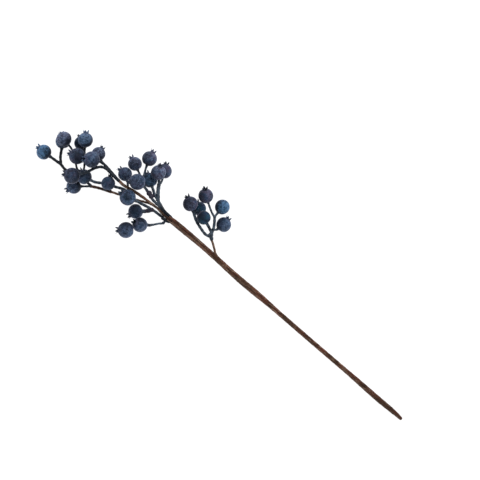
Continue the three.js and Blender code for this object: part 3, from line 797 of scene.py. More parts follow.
def build_berries(spray, seed):
    """Every berry of the spray turned, placed and pressed to the table, in one mesh with its tones."""
    random = np.random.default_rng(seed)
    parts, tones = [], {name: [] for name in COAT_TONES + PLACE_TONES}
    for berry, (at, radius, bearing, rise, tone) in BERRIES[spray].items():
        points, zones = berry_points(radius, random)
        points = clamp_to_table(turned_to(points, bearing, rise) + np.array(at))
        parts.append(closed_grid(points))
        skin = parts[-1][0]
        for name, value in zip(COAT_TONES, tone):
            tones[name].append(np.full(len(skin), value))
        zones["crown"] *= 1 - PALE_CROWNS.get(spray, {}).get(berry, 0.0)
        for name, zone in zones.items():
            tones[name].append(np.append(zone.ravel(), zone[[0, -1], 0]))
        top_shade_strength = TOP_SHADE.get(spray, {}).get(berry, 0.0)
        # painted light: lighter on faces out of the head, darker on faces into it and on the painted dark
        # tops
        tones["painted_light"].append(openness(skin, at) * (1 - painted_top_shade(skin, at, radius, top_shade_strength)))
    piece = new_piece("berries_" + spray, parts, BERRY_COAT)
    for name, values in tones.items():
        set_tone(piece, name, values)
    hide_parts("spray_" + spray)
    print(piece.name, len(parts), "berries,", len(piece.data.polygons), "faces")


for number, spray in enumerate(BERRIES):
    build_berries(spray, BERRY_SEED + number)

# %% [markdown]
# ## The twigs
#
# Each spray is one moulding: a sleeve that pushes on the wire, a twig that
# forks, and a thin stalk to every berry that opens out where it meets it. In
# a moulding there is no seam where two stalks meet, only a soft fillet. Tubes
# laid into each other show a hard crease there, so the tubes are remeshed
# into one skin of small squares and relaxed a little, which draws the fillets.

# %% Runs of the twigs, root first, and the swellings at the forks
TWIG = 1.25  # this and the next four are radii
BRANCH = 1.65
STALK = 0.95
FLARE = 1.9  # where a stalk meets its berry
SLEEVE = 1.45

LIMBS = {  # thickness, the berry that the limb ends at, and the places it goes through
    "side": [
        (TWIG, None, [(222.3, -12.3, 10.2), (223.7, -17, 11.5), (226.5, -22, 12.6), (230, -26.5, 13.3)]),
        (STALK, "high", [(229.5, -26, 13.2), (234.7, -28, 13)]),
        (STALK, "bright", [(230, -26, 13.3), (230.1, -29.3, 13.1)]),
        (STALK, "outer", [(223.9, -17.5, 11.6), (221.8, -19.3, 11.2)]),
        (TWIG, "inner", [
            (221.8, -11.5, 10.2), (226.1, -10.3, 10), (232.2, -11.5, 10.3), (239.7, -14, 11),
            (245, -17.2, 13),
        ]),
        (TWIG, "middle", [(223, -14.6, 10.8), (228.8, -17, 12.3)]),
        (TWIG, "low", [(223.2, -14.6, 10), (229, -17.2, 7.8), (236.5, -20.2, 6.2)]),
    ],
    "centre_upper": [
        (TWIG, None, [(262, -2.2, 13.3), (267.5, -3.4, 14.5), (272, -5.1, 15.5), (275.5, -6.3, 15.5)]),
        (BRANCH, None, [(275, -6.2, 15.5), (280, -12, 14.5), (283, -16.5, 13.3)]),
        (TWIG, "top", [(282.7, -16.2, 13.3), (284.4, -18.4, 14)]),
        (STALK, "under", [(282.7, -16, 13.3), (283.2, -20, 9.5)]),
        (TWIG, "dark", [(275, -6.3, 15.5), (279.5, -7.5, 14), (283.2, -9.6, 11.8)]),
        (TWIG, None, [
            (263, -2.4, 13.6), (268, -2.9, 16), (272.5, -3.2, 16.8), (277.5, -3.5, 16),
            (282.5, -4.5, 14.2), (288, -6.5, 13), (292.3, -7.4, 12),
        ]),
        (STALK, "front", [(291.8, -7, 12.1), (293, -7.6, 13)]),
        (STALK, "far", [(291.8, -7.2, 12), (296.3, -10, 11), (298.3, -15.3, 10.4), (300.6, -20, 10.2)]),
        (STALK, "fore", [(295.6, -9.3, 11.2), (300.2, -12.2, 10)]),
    ],
    "centre_lower": [
        (TWIG, None, [
            (262, 2.1, 12.9), (267, 2.5, 12), (271, 2.7, 11.5), (274, 3.1, 11.2), (279, 4, 11),
            (284.5, 5.3, 10.7), (289.5, 6.2, 10.3),
        ]),
        (BRANCH, "low", [(273.5, 3.2, 11.3), (276.3, 6.8, 9.5)]),
        (STALK, "facing", [(259.5, 2.2, 12.7), (259.3, 5.6, 12), (261.7, 8.1, 11.3), (265.2, 12.3, 11)]),
        (STALK, "outer", [(263.7, 10.5, 11.2), (267.1, 15, 8), (271.6, 18.2, 3.6), (276, 22.7, 6)]),
        (STALK, "front", [(286.5, 5.7, 10.5), (288.6, 6.7, 12.6)]),
        (TWIG, "end", [
            (288.5, 6, 10.4), (294.5, 6, 9.5), (299.5, 5.2, 9), (303.5, 5.7, 8.4), (310, 8.7, 7.2),
            (315.9, 10.9, 6.7), (321.1, 14, 6.7), (326, 17, 7.7),
        ]),
        (STALK, "upper", [(299, 5.2, 9.1), (301.3, 2.3, 9.6), (304.3, -0.6, 10.5)]),
    ],
    "tip_upper": [
        (TWIG, None, [(313, 2.4, 18.4), (316, 1.9, 18.8), (320, 1.3, 18.8), (325.5, 0.5, 18)]),
        (TWIG, "big", [
            (325, 0.6, 18), (329, 0.3, 17.4), (332.5, 0.8, 16.4), (337, 2.7, 14.6), (341, 5.3, 14.4),
        ]),
        (STALK, "front", [(331.5, 0.6, 16.6), (333.2, 0.9, 18)]),
        (TWIG, "back", [(330, 0.3, 17.1), (333.2, -0.3, 14)]),
        (TWIG, "over", [
            (314, 2.7, 18.8), (317.5, 2.6, 19.2), (321.5, 2.1, 19.4), (325.5, 2.1, 19.4),
            (329.3, 3.7, 19.4), (332.5, 8, 20), (335, 14, 20.9),
        ]),
    ],
    "tip_lower": [
        (TWIG, None, [(314, 15.9, 6.4), (320.5, 18.8, 6), (326.5, 22, 5.7)]),
        (STALK, "left", [(326, 21.8, 5.7), (329.5, 24.8, 5.7)]),
        (TWIG, None, [(325.5, 21.5, 5.7), (331, 21.3, 3.4), (336.5, 20.3, 3.3), (341, 19.5, 5)]),
        (TWIG, None, [(340.5, 19.5, 4.9), (346, 22.5, 7.6), (350.8, 25, 9.3), (357.3, 24, 10)]),
        (TWIG, "tip", [(356.8, 24.1, 10), (362, 24.5, 10.8)]),
        (TWIG, "below", [(356.7, 24.2, 10), (361.3, 19.8, 8.7), (364.1, 15.8, 7)]),
        (STALK, "above", [
            (340.5, 19.5, 4.9), (345, 17.8, 7.4), (348.5, 15, 8.6), (353, 11.6, 9.8), (358.4, 8.3, 13),
        ]),
        (STALK, "right", [(338, 20, 4), (340.5, 13.7, 6.6), (344.5, 8.3, 8.6), (348.6, 2.8, 12.6)]),
        (STALK, "hidden", [(343.4, 9.8, 8), (347, 6.3, 6.2)]),
        (STALK, "first", [(316.5, 17, 6.3), (315, 16.6, 8.8)]),
    ],
}
KNOBS = {  # balls: x, y, z and radius
    "side": [(220.4, -11.1, 10.2, 1.75), (222.6, -12.9, 10.4, 2.2), (230, -26.5, 13.3, 1.45)],
    "centre_upper": [
        (275.5, -6.3, 15.5, 1.6), (281.5, -5, 14.6, 2.3), (284.5, -5.8, 13.8, 2.4), (283, -16.5, 13.3, 1.75),
    ],
    "centre_lower": [
        (274, 3.3, 11.2, 1.8), (276.5, 6.5, 9.6, 1.75), (259.4, 5.4, 12, 1.4), (289, 6.1, 10.4, 1.45),
    ],
    "tip_upper": [(325.7, 1, 18.3, 1.75)],
    "tip_lower": [(326.3, 21.8, 5.7, 1.5), (340.8, 19.5, 5, 1.65)],
}

# %% The wires that carry the sprays
SIDE_WIRE = [(200, -1.8, 8.4), (208.5, -3.1, 9.3), (214, -6.8, 9.6), (218.5, -9.7, 10)]
UPPER_WIRE = [
    (252, -0.2, 13.2), (258, 0, 14.7), (264.5, 0.1, 14.7), (272, -0.8, 14.2), (279.5, -0.4, 14),
    (286, 0.15, 13.4), (295.5, 1.2, 13.2), (301, 2.3, 15.2), (305.5, 3, 16.6), (309.5, 2.8, 17.5),
]
LOWER_WIRE = [
    (252, -0.2, 11.4), (258, -0.1, 10.7), (263.5, -0.4, 10.8), (268.5, -0.9, 10.6), (274, -0.45, 10.1),
    (279, 0.6, 9), (283.5, 2.6, 7.8), (288.5, 5, 7), (295, 7.8, 6.6), (303.5, 11.6, 6.4), (309.5, 14, 6.4),
]
WIRE_ENDS = {  # two places in line at each wire's end, of which the sleeve starts just past the second
    "side": SIDE_WIRE[-2:],
    "centre_upper": [(250, -1.8, 12.2), (257, -2.15, 12.9)],
    "centre_lower": [(250, 0.8, 12), (257, 1.95, 12.6)],
    "tip_upper": UPPER_WIRE[-2:],
    "tip_lower": LOWER_WIRE[-2:],
}


# %% Smooth paths and tubes along them
def beyond(a, b, reach):
    """The point that lies that far past b on the line from a to b."""
    a, b = np.array(a, float), np.array(b, float)
    return b + (b - a) / np.linalg.norm(b - a) * reach


def smooth_path(points, step):
    """A centripetal Catmull-Rom curve through the points, about one place for each step.

    Each span is a cubic between two points whose end slopes come from the neighbours, weighted
    by the square roots of the distances between them. The neighbours of the ends are mirrored.
    """
    p = np.array(points, float)
    p = np.vstack([2 * p[0] - p[1], p, 2 * p[-1] - p[-2]])
    gaps = np.sqrt(np.linalg.norm(np.diff(p, axis=0), axis=1))[:, None]
    a, b, c, d = p[:-3], p[1:-2], p[2:-1], p[3:]
    before, here, after = gaps[:-2], gaps[1:-1], gaps[2:]
    leave = ((b - a) / before - (c - a) / (before + here) + (c - b) / here) * here
    arrive = ((c - b) / here - (d - b) / (here + after) + (d - c) / after) * here
    counts = np.maximum(2, np.ceil(np.linalg.norm(c - b, axis=1) / step).astype(int))
    span = np.repeat(np.arange(len(counts)), counts)
    t = np.concatenate([np.arange(n) / n for n in counts])[:, None]
    b, c, leave, arrive = b[span], c[span], leave[span], arrive[span]
    square = 3 * (c - b) - 2 * leave - arrive
    cube = 2 * (b - c) + leave + arrive
    along = b + leave * t + square * t**2 + cube * t**3
    return np.vstack([along, p[-2]])


def rings(path, radii, columns):
    """A ring at each place of the path, square to it: side is along x up, rise is side x along."""
    along = np.gradient(path, axis=0)
    along /= np.linalg.norm(along, axis=1)[:, None]
    side = np.cross(along, [0.0, 0.0, 1.0])
    side /= np.linalg.norm(side, axis=1)[:, None]
    rise = np.cross(side, along)
    turn = 2 * np.pi * np.arange(columns) / columns
    radii = np.asarray(radii, float).reshape(len(path), -1)
    radii = np.broadcast_to(radii, (len(path), columns))[..., None]
    across = side[:, None] * np.cos(turn)[:, None]
    upward = rise[:, None] * np.sin(turn)[:, None]
    return path[:, None] - radii * (across - upward)


def path_length(path):
    """Distance run at each place: the sum of the steps so far."""
    return np.concatenate([[0.0], np.cumsum(np.linalg.norm(np.diff(path, axis=0), axis=1))])


straight = smooth_path([(0, 0, 5), (10, 0, 5)], 1.0)
print("a straight run of", round(float(path_length(straight)[-1]), 3), "mm in", len(straight), "places")

# %% How the limbs, knobs and sleeves are formed
TWIG_STEP = 0.35
TWIG_COLUMNS = 14
UNEVEN = 0.06  # share by which a limb's radius comes and goes
UNEVEN_RATE = 1.7  # radians for each millimetre
FLARE_LENGTH = 2.6
FLARE_POWER = 2.2
FLARE_SINK = 0.9  # how far a stalk goes into its berry
KNOB_ROWS = 12
KNOB_POLE = 0.15  # angle between a ball's pole and its first ring
FIT_GAP = 0.33  # from the end of the taped wire to the sleeve's mouth
SLEEVE_COLUMNS = 24
# millimetres past the mouth, and share of the sleeve's radius there
BLUNT_MOUTH = [(0.0, 0.75), (0.12, 0.92), (0.4, 1.0)]
BOUND_MOUTH = [(-2.0, 0.5), (-1.4, 0.66), (-0.6, 0.85), (0.2, 0.96)]
SLEEVE_BODY = [(1.2, 1.0), (2.5, 0.97), (4.2, 1.0), (5.2, 0.98), (5.8, 0.9), (6.3, 0.72)]


def limb_rings(thickness, berry, run, spray):
    """A tube along the run. To a berry it goes on, and opens with a power of the nearness."""
    points = list(run)
    if berry:
        at, radius = BERRIES[spray][berry][:2]
        inwards = beyond(run[-1], at, 1.0) - np.array(at)
        points.append(tuple(beyond(run[-1], at, 0.0) - inwards * (radius - FLARE_SINK)))
    path = smooth_path(points, TWIG_STEP)
    run_so_far = path_length(path)
    radii = thickness * (1 + UNEVEN * np.sin(run_so_far * UNEVEN_RATE + len(run)))
    if berry:
        nearness = np.clip(1 - (run_so_far[-1] - run_so_far) / FLARE_LENGTH, 0, 1)
        radii = radii + (FLARE - thickness) * nearness**FLARE_POWER
    return rings(path, radii, TWIG_COLUMNS)


def knob_rings(x, y, z, radius):
    """A ball as rings along X: a ring's radius is R sin(a), and its place x - R cos(a)."""
    angle = np.linspace(KNOB_POLE, np.pi - KNOB_POLE, KNOB_ROWS)
    path = np.stack([x - radius * np.cos(angle), 0 * angle + y, 0 * angle + z], axis=-1)
    return rings(path, radius * np.sin(angle), TWIG_COLUMNS)


def sleeve_rings(inner, outer, bound):
    """The pushed-on sleeve, drawn in at its far end. Its mouth is blunt with a rounded lip,
    or, where the spray is bound straight into the bundle, narrows away under the tape."""
    mouth = BOUND_MOUTH if bound else BLUNT_MOUTH
    reach, shares = np.array(mouth + SLEEVE_BODY).T
    path = np.array([beyond(inner, outer, FIT_GAP + past) for past in reach])
    return rings(path, SLEEVE * shares, SLEEVE_COLUMNS)


# %% Where the twigs are rubbed, stained or taped over
# how much each spray was handled
HANDLED = {"side": 0.7, "centre_upper": 0.58, "centre_lower": 0.6, "tip_upper": 0.12, "tip_lower": 0.12}
STAINED_JOINTS = {"centre_upper": KNOBS["centre_upper"][1:3], "centre_lower": KNOBS["centre_lower"][:2]}
STAIN_EDGE = 1.2  # millimetres over which a stained, rubbed or wrapped place fades out
WEAR = {  # balls x, y, z, radius, and how much more or less the limbs in them are rubbed
    "side": [(228, -16.8, 9.5, 3.5, -0.9)],
    "centre_upper": [(264, -2.8, 13.8, 5.5, -0.9)],
    "centre_lower": [(261, 2, 12.6, 4, -0.9), (261, 7.5, 11.6, 4.5, 0.5), (268, 15.5, 7.5, 4.5, 0.5)],
    "tip_upper": [(320, 2, 19, 16, -0.3)],
    "tip_lower": [(359, 22, 9.5, 8, -0.5), (344.5, 8.3, 8.6, 5, -0.4)],
}
WRAP_REACH = 1.6  # the tape covers what lies this near the middle of its limb
WRAP_STEP = 0.8
WRAP_START, WRAP_END = (308, 13.4, 6.4), (324.5, 20.9, 5.8)
_, _, wrapped_run = LIMBS["tip_lower"][0]
wrapped_path = smooth_path([WRAP_START, *wrapped_run[:-1], WRAP_END], WRAP_STEP)
WRAPPED_LIMBS = {"tip_lower": [(*place, WRAP_REACH) for place in wrapped_path]}


def share_near(skin, balls):
    """1 inside any of the balls (x, y, z, radius), falling off to 0 over STAIN_EDGE outside it."""
    places = np.empty(3 * len(skin.vertices))
    skin.vertices.foreach_get("co", places)
    places = (places.reshape(-1, 3) - CUT_END) / MM
    share = np.zeros(len(places))
    for x, y, z, radius in balls:
        away = np.linalg.norm(places - [x, y, z], axis=1)
        share = np.maximum(share, 1 - smooth_share(away, radius, radius + STAIN_EDGE))
    return share


def wear(skin, spray):
    """The handling of the whole spray, with what each ball of WEAR adds to it."""
    changes = [more * share_near(skin, [ball]) for *ball, more in WEAR.get(spray, [])]
    return sum(changes, np.full(len(skin.vertices), HANDLED[spray]))


# %% Build the twigs, one moulded skin for each spray
SKIN = 0.2  # size of the squares
RELAX_ROUNDS = 6
RELAX_SHARE = 0.5  # of the way that a point goes to the middle of its neighbours in a round


def build_twigs(spray):
    """Tubes, knobs and sleeve in one mesh, made one skin by a voxel remesh, then relaxed."""
    grids = [limb_rings(*limb, spray) for limb in LIMBS[spray]]
    grids += [knob_rings(*knob) for knob in KNOBS[spray]]
    grids.append(sleeve_rings(*WIRE_ENDS[spray], bound=spray.startswith("centre")))
    piece = new_piece("twigs_" + spray, [closed_grid(clamp_to_table(g)) for g in grids], TWIG_PLASTIC)
    remesh = piece.modifiers.new("skin", "REMESH")
    remesh.mode = "VOXEL"
    remesh.voxel_size = SKIN * MM
    relax = piece.modifiers.new("relax", "SMOOTH")
    relax.factor = RELAX_SHARE
    relax.iterations = RELAX_ROUNDS
    bpy.context.view_layer.update()
    skin = bpy.data.meshes.new_from_object(piece.evaluated_get(bpy.context.evaluated_depsgraph_get()))
    piece.modifiers.clear()
    piece.data = skin
    skin.name = piece.name
    skin.polygons.foreach_set("use_smooth", np.ones(len(skin.polygons), bool))
    set_tone(piece, "paleness", [wear(skin, spray)])
    set_tone(piece, "joint", [share_near(skin, STAINED_JOINTS.get(spray, []))])
    set_tone(piece, "wrapped", [share_near(skin, WRAPPED_LIMBS.get(spray, []))])
    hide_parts("spray_" + spray)
    print(piece.name, len(skin.polygons), "faces")


for spray in LIMBS:
    build_twigs(spray)

# %% [markdown]
# ## The taped stem
#
# The wires of the five sprays are laid together and wound with paper tape in
# a spiral, each turn lapping the last. Near the sprays the tape is pulled
# tight and the five wires press through it as ridges, with painted shade in
# the grooves between them. The stem is one tube along its path, and its radius is the sum
# of four things: the stations below with a layer of paper on them, the
# ridges, the small step that each turn of tape makes where it lies on the one
# before, and the paper's shallow creases. Two attributes tell the finish where
# the painted shade lies and where a pale strand is painted along one side as a highlight.

# %% Stations of the bundle: x, y, z and radius
STATIONS = [
    (-1.2, 0.6, 1.9, 1.1),
    (0.3, 0.45, 1.9, 1.45),
    (3, 0.3, 1.95, 1.65),
    (6, 0.3, 2.05, 1.8),
    (8.5, 0.2, 2.2, 2.05),
    (16, 0.3, 2.3, 2.2),
    (23, 0.45, 2.35, 2.35),
    (35, 0.35, 2.6, 2.3),
    (50, 0.1, 3, 2.1),
    (60, 0.05, 3.3, 1.9),
    (100, 0.05, 4.5, 1.9),
    (138, -0.2, 5.8, 1.95),
    (150, -0.4, 6.3, 2.3),
    (163, -0.3, 6.8, 2.75),
    (178, -0.1, 7.4, 2.75),
    (190, -0.3, 8, 2.5),
    (205, -0.9, 8.8, 2.4),
    (222, -1.2, 9.8, 2.3),
    (234, -1.2, 10.6, 2.5),
    (246, -1, 11.5, 2.65),
    (254, -0.85, 12.2, 2.55),
    (256.6, -0.65, 12.45, 2.3),
]
LAP_END = [(258.2, -0.45, 12.6, 2.75), (259.4, -0.35, 12.7, 2.5)]  # the tape laps over the sleeves' mouths
PAPER = 0.12  # thickness of the layer
END_LENGTH = 0.9  # the tape's ends are rounded over this length
END_TUCK = 0.45  # and drawn in by this much

# %% The ridges that the wires make in the bundle's tape
RIDGES = 5
RIDGE_RELIEF = 0.07  # share of the radius
RIDGES_START, RIDGES_FULL = 205.0, 240.0
RIDGE_LEAST = 0.25  # share of the relief that shows before the ridges start
FULL_GROOVE_SHADE = 0.8  # how dark the painted shade in the grooves between full ridges is
FAINT_GROOVE_SHADE = 0.25  # and before the ridges start
FAINT_HIGHLIGHT = 0.3  # and of the painted highlight strand
HIGHLIGHT_TURN = math.radians(60)  # which way round the painted highlight strand lies, and a ridge with it
HIGHLIGHT_WIDTH = 0.35  # radians from its middle to where it has faded to a third

# %% The thin wires' tape
WIRE = 1.0
WOUND_WIRE = 1.3
WOUND_SPAN = (281, 288)  # where along the upper wire the second layer of tape begins
WIRE_HIGHLIGHT = 0.75  # a highlight is painted along one side of the tape
WIRE_SHADE = 0.55  # and painted dark as shade along the other
WIRE_LIGHT_TURN = math.radians(120)
LIT_SIDE = (0.2, 1.0)  # cosines of the turn from there, from where it starts to where it is full
SHADED_SIDE = (-0.2, 0.8)  # and the same on the other side
SLEEVE_SHADE = 0.8  # between the sleeves the thin wires are painted dark as the shade there
SLEEVE_SHADE_SPAN = (262, 276)
SLEEVE_FIRST = 250  # where the sleeves begin

# %% Tape wound round a run
TAPE_STEP = 0.14  # height of a lap's edge
TAPE_MEAN = 0.4  # share of the step that is taken off all round, so that the laps hardly thicken the stem
TAPE_LIP = 0.05  # share of a turn over which the edge rises
WANDER = (0.10, 0.06)  # turns by which the winding strays, slowly and quickly
WANDER_RATE = (0.9, 2.3)  # radians for each lap
CREASE = 0.025  # height
CREASES = 9  # on the way round
CREASE_SWAY, CREASE_SWAY_RATE = 7, 0.8  # radians, and radians for each millimetre
CREASE_RATE, CREASE_SKEW = 2.1, 3  # the same, for how a crease comes and goes along the run


def between_stations(x, stations):
    """The stations' numbers at each x, on the straight lines from one station to the next."""
    table = np.array(stations, float)
    at = np.clip(np.searchsorted(table[:, 0], x) - 1, 0, len(table) - 2)
    share = np.clip((x - table[at, 0]) / (table[at + 1, 0] - table[at, 0]), 0, 1)
    return table[at] + (table[at + 1] - table[at]) * share[:, None]


def taped(path, radii, columns, pitch, ridge, random):
    """Rings whose radius carries the tape. Turns u = distance / pitch + turn / 2 pi.

    The step starts at u's whole numbers: it rises over TAPE_LIP, so that the edge is a clean slope,
    and falls away over the rest of the turn as (1 - u) squared.
    The ridges are a share of the radius times the cosine of RIDGES times the turn from HIGHLIGHT_TURN.
    The creases are a sine of CREASES times the turn, swayed from side to side by a sine along the
    run, times another sine along the run that a sine of the turn skews.
    """
    run = path_length(path)[:, None]
    turn = (2 * np.pi * np.arange(columns) / columns)[None, :]
    slow = WANDER[0] * np.sin(run / pitch * WANDER_RATE[0] + random.uniform(0, 6))
    wander = slow + WANDER[1] * np.sin(run / pitch * WANDER_RATE[1])
    u = run / pitch + turn / (2 * np.pi) + wander
    part = u % 1
    step = TAPE_STEP * ((1 - part) ** 2 * np.clip(part / TAPE_LIP, 0, 1))
    sway = CREASE_SWAY * np.sin(run * CREASE_SWAY_RATE)
    come_and_go = np.sin(run * CREASE_RATE + CREASE_SKEW * np.sin(turn))
    crease = CREASE * np.sin(turn * CREASES + sway) * come_and_go
    radii = np.asarray(radii)[:, None]
    ridged = radii * (1 + ridge[:, None] * np.cos(RIDGES * (turn - HIGHLIGHT_TURN)))
    return rings(path, ridged + step - TAPE_MEAN * TAPE_STEP + crease, columns), u


def strand_tones(x, columns):
    """Painted shade: deepest in the grooves, where the cosine of the ridges is lowest. Painted highlight: a
    bell round one turn.
    """
    turn = 2 * np.pi * np.arange(columns) / columns
    tight = smooth_share(x, RIDGES_START, RIDGES_FULL)[:, None]
    valley = smooth_share(-np.cos(RIDGES * (turn - HIGHLIGHT_TURN)), 0.0, 1.0)[None, :]
    painted_shade = valley * (FAINT_GROOVE_SHADE + (FULL_GROOVE_SHADE - FAINT_GROOVE_SHADE) * tight)
    strand = np.exp(-(((turn - HIGHLIGHT_TURN) / HIGHLIGHT_WIDTH) ** 2))[None, :]
    return painted_shade, (FAINT_HIGHLIGHT + (1 - FAINT_HIGHLIGHT) * tight) * strand


def wire_tones(path, columns):
    """Painted shade and painted highlight: smooth steps of the cosine of the turn from WIRE_LIGHT_TURN,
    on opposite sides.

    Along the wires that pass between the sleeves, the painted shade also falls off over
    SLEEVE_SHADE_SPAN, and the highlight is held back where that shade lies.
    """
    side = np.cos(2 * np.pi * np.arange(columns) / columns - WIRE_LIGHT_TURN)[None, :]
    among = (1 - smooth_share(path[:, :1], *SLEEVE_SHADE_SPAN)) * (path[:, :1] > SLEEVE_FIRST)
    patches = np.maximum(WIRE_SHADE * smooth_share(-side, *SHADED_SIDE), SLEEVE_SHADE * among)
    return patches, WIRE_HIGHLIGHT * smooth_share(side, *LIT_SIDE) * (1 - among)


# %% The tape's UV map
NEAR_SEAM = 0.2  # a face with corners this near the seam on both sides reaches across it


def add_tape_map(piece, winds):
    """UV map for the tape: U counts turns, V is the share of the way round, both unwrapped.

    The corner of a face that lies past the seam gets U and V one higher, so nothing jumps there.
    """
    corner_point = np.empty(len(piece.data.loops), int)
    piece.data.loops.foreach_get("vertex_index", corner_point)
    u_all = np.zeros(len(piece.data.vertices))
    v_all = np.zeros(len(piece.data.vertices))
    start = 0
    for u in winds:
        rows, columns = u.shape
        u_all[start : start + u.size] = u.ravel()
        v_all[start : start + u.size] = np.tile(np.arange(columns) / columns, rows)
        u_all[start + u.size : start + u.size + 2] = [u[0].mean(), u[-1].mean()]
        v_all[start + u.size : start + u.size + 2] = 0.5
        start += u.size + 2
    uv = np.stack([u_all[corner_point], v_all[corner_point]], axis=-1)
    sizes = np.empty(len(piece.data.polygons), int)
    piece.data.polygons.foreach_get("loop_total", sizes)
    owner = np.repeat(np.arange(len(sizes)), sizes)
    highest = np.zeros(len(sizes))
    np.maximum.at(highest, owner, uv[:, 1])
    past = (highest[owner] > 1 - NEAR_SEAM) & (uv[:, 1] < NEAR_SEAM)
    uv[past] += 1.0
    layer = piece.data.uv_layers.new(name="tape")
    layer.data.foreach_set("uv", uv.ravel().astype(np.float32))


# %% Wind the bundle
RING_STEP = 0.33
STEM_COLUMNS = 64
TAPE_TURN = 7.5  # millimetres from one lap to the next
SMOOTHED_OVER = 17  # rings that are averaged, so that the stations leave no mark
TAPE_SEED = 7
END_TONES = [0.0, 0.0]  # of the points that close the two ends

random = np.random.default_rng(TAPE_SEED)
stations = STATIONS + LAP_END
x = np.arange(stations[0][0], stations[-1][0], RING_STEP)
line = between_stations(x, stations)
bell = np.hanning(SMOOTHED_OVER)
bell /= bell.sum()
padded = np.pad(line[:, 1:], ((SMOOTHED_OVER // 2, SMOOTHED_OVER // 2), (0, 0)), "edge")
soft = np.stack([np.convolve(column, bell, "valid") for column in padded.T], axis=-1)
ends = np.clip(np.minimum(x - x[0], x[-1] - x) / END_LENGTH, 0, 1)
radius = soft[:, 2] + PAPER - END_TUCK * (1 - np.sqrt(1 - (1 - ends) ** 2))
full_ridge = smooth_share(x, RIDGES_START, RIDGES_FULL)
ridge = RIDGE_RELIEF * (RIDGE_LEAST + (1 - RIDGE_LEAST) * full_ridge)
bundle = np.column_stack([x, soft[:, :2]])
bundle_rings, bundle_wind = taped(bundle, radius, STEM_COLUMNS, TAPE_TURN, ridge, random)
stem_parts = [closed_grid(clamp_to_table(bundle_rings))]
winds = [bundle_wind]
shade_tones, paleness_tones = ([np.append(tone, END_TONES)] for tone in strand_tones(x, STEM_COLUMNS))
print("bundle:", len(x), "rings, radius up to", round(float(radius.max()), 2), "mm")

# %% Wind the thin wires
WIRE_STEP = 0.3
WIRE_COLUMNS = 26
WIRE_TAPE_TURN = 5.0
INTO_SLEEVE = 0.7  # how far the wires' tape goes into the sleeves' mouths

for wire, thickest in ((SIDE_WIRE, WIRE), (UPPER_WIRE, WOUND_WIRE), (LOWER_WIRE, WIRE)):
    path = smooth_path([*wire, tuple(beyond(wire[-2], wire[-1], INTO_SLEEVE))], WIRE_STEP)
    radii = WIRE + (thickest - WIRE) * smooth_share(path[:, 0], *WOUND_SPAN)
    no_ridge = np.zeros(len(path))
    wire_rings, wire_wind = taped(path, radii, WIRE_COLUMNS, WIRE_TAPE_TURN, no_ridge, random)
    stem_parts.append(closed_grid(clamp_to_table(wire_rings)))
    winds.append(wire_wind)
    for tones, tone in zip((shade_tones, paleness_tones), wire_tones(path, WIRE_COLUMNS)):
        tones.append(np.append(tone, END_TONES))
    print("taped wire:", round(float(path_length(path)[-1]), 1), "mm long")

# %% Bundle and wires in one taped piece
stem = new_piece("taped_stem", stem_parts, TAPE)
add_tape_map(stem, winds)
set_tone(stem, "painted_shade", shade_tones)
set_tone(stem, "paleness", paleness_tones)
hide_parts("stem")
print("stem:", len(stem.data.polygons), "faces")

# %% [markdown]
# ## Bare wire
#
# Five wires end at the cut, pinched tight in the tape, and five bare ends
# stand inside the sleeves of the sprays.

# %% Wire ends at the cut, and the pins
CUT_WIRES = 5
CUT_RING = 0.5  # radius of the ring that they stand in
CUT_RING_TURN = 0.3  # of a fifth of a turn
CUT_WIRE = 0.28
CUT_EDGE = 0.8  # share of the radius that is left at the very end
CUT_PROUD = 0.15  # how far the wires stand out of the tape
CUT_BURR = 0.06  # the nippers round the wire's edge over this length
CUT_SUNK = 3.0  # how far the wires go on in the tape
PIN = 0.4
PIN_LENGTH = 5.0
PIN_COLUMNS = 16

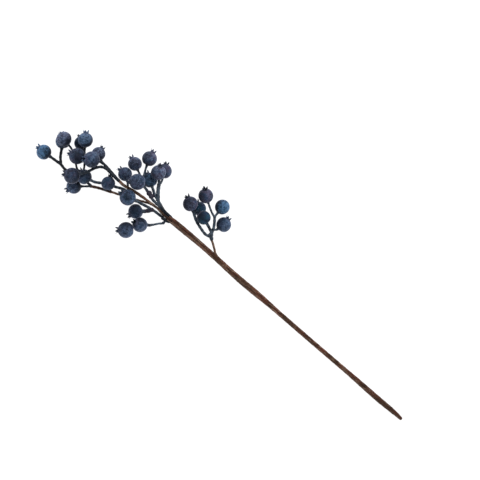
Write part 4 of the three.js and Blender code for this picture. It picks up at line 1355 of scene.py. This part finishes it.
cut_x, cut_y, cut_z, _ = STATIONS[0]
places = 2 * np.pi * (np.arange(CUT_WIRES) + CUT_RING_TURN) / CUT_WIRES
cut_along = cut_x + np.array([-CUT_PROUD, CUT_BURR - CUT_PROUD, CUT_SUNK])
cut_radii = [CUT_WIRE * CUT_EDGE, CUT_WIRE, CUT_WIRE]
cut_ends = []
for y, z in zip(cut_y + CUT_RING * np.cos(places), cut_z + CUT_RING * np.sin(places)):
    path = np.stack([cut_along, 0 * cut_along + y, 0 * cut_along + z], axis=-1)
    cut_ends.append(closed_grid(rings(path, cut_radii, PIN_COLUMNS)))
pins = []
for inner, outer in WIRE_ENDS.values():
    path = np.array([inner, beyond(inner, outer, PIN_LENGTH)])
    pins.append(closed_grid(rings(path, [PIN, PIN], PIN_COLUMNS)))
wires = new_piece("bare_wires", cut_ends + pins, IRON)
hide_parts("stem")
print("wires:", len(cut_ends), "cut ends and", len(pins), "pins")

# %% [markdown]
# ## The light table
#
# The sheet is cast acrylic, sanded on top to a very fine tooth, so that it
# glows evenly and mirrors nothing. It is one square on the table's plane, far
# larger than the view, so that its edge stays out of sight. It is no piece of
# the sprig but a thing the sprig is shown on.


# %% The light table under the sprig
def glowing_acrylic():
    """White that gives its own light. The tooth, really about 0.1 mm, is drawn at 0.8 mm."""
    material, tree, shader = new_finish("glowing_acrylic")
    place = add(tree, "ShaderNodeTexCoord").outputs["Object"]
    tooth = add(tree, "ShaderNodeTexNoise", Vector=place, Scale=per_mm(0.8), Detail=3.0)
    grain = add(tree, "ShaderNodeBump", Height=tooth.outputs["Fac"], Distance=0.03 * MM, Strength=0.2)
    tree.links.new(grain.outputs["Normal"], shader.inputs["Normal"])
    shader.inputs["Base Color"].default_value = (SHEET_WHITE, SHEET_WHITE, SHEET_WHITE, 1.0)
    shader.inputs["Emission Color"].default_value = (1.0, 1.0, 1.0, 1.0)
    shader.inputs["Emission Strength"].default_value = SHEET_GLOW
    shader.inputs["Roughness"].default_value = 0.9
    shader.inputs["Specular IOR Level"].default_value = 0.1
    return material


TABLE_SIZE = 12.0  # metres
half = TABLE_SIZE / 2
corners = [(-half, -half, 0), (half, -half, 0), (half, half, 0), (-half, half, 0)]
sheet_mesh = bpy.data.meshes.new("light_table")
sheet_mesh.from_pydata(corners, [], [(0, 1, 2, 3)])
sheet_mesh.materials.append(glowing_acrylic())
light_table = bpy.data.objects.new("light_table", sheet_mesh)
scene.collection.objects.link(light_table)
print("light table", TABLE_SIZE, "metres square")
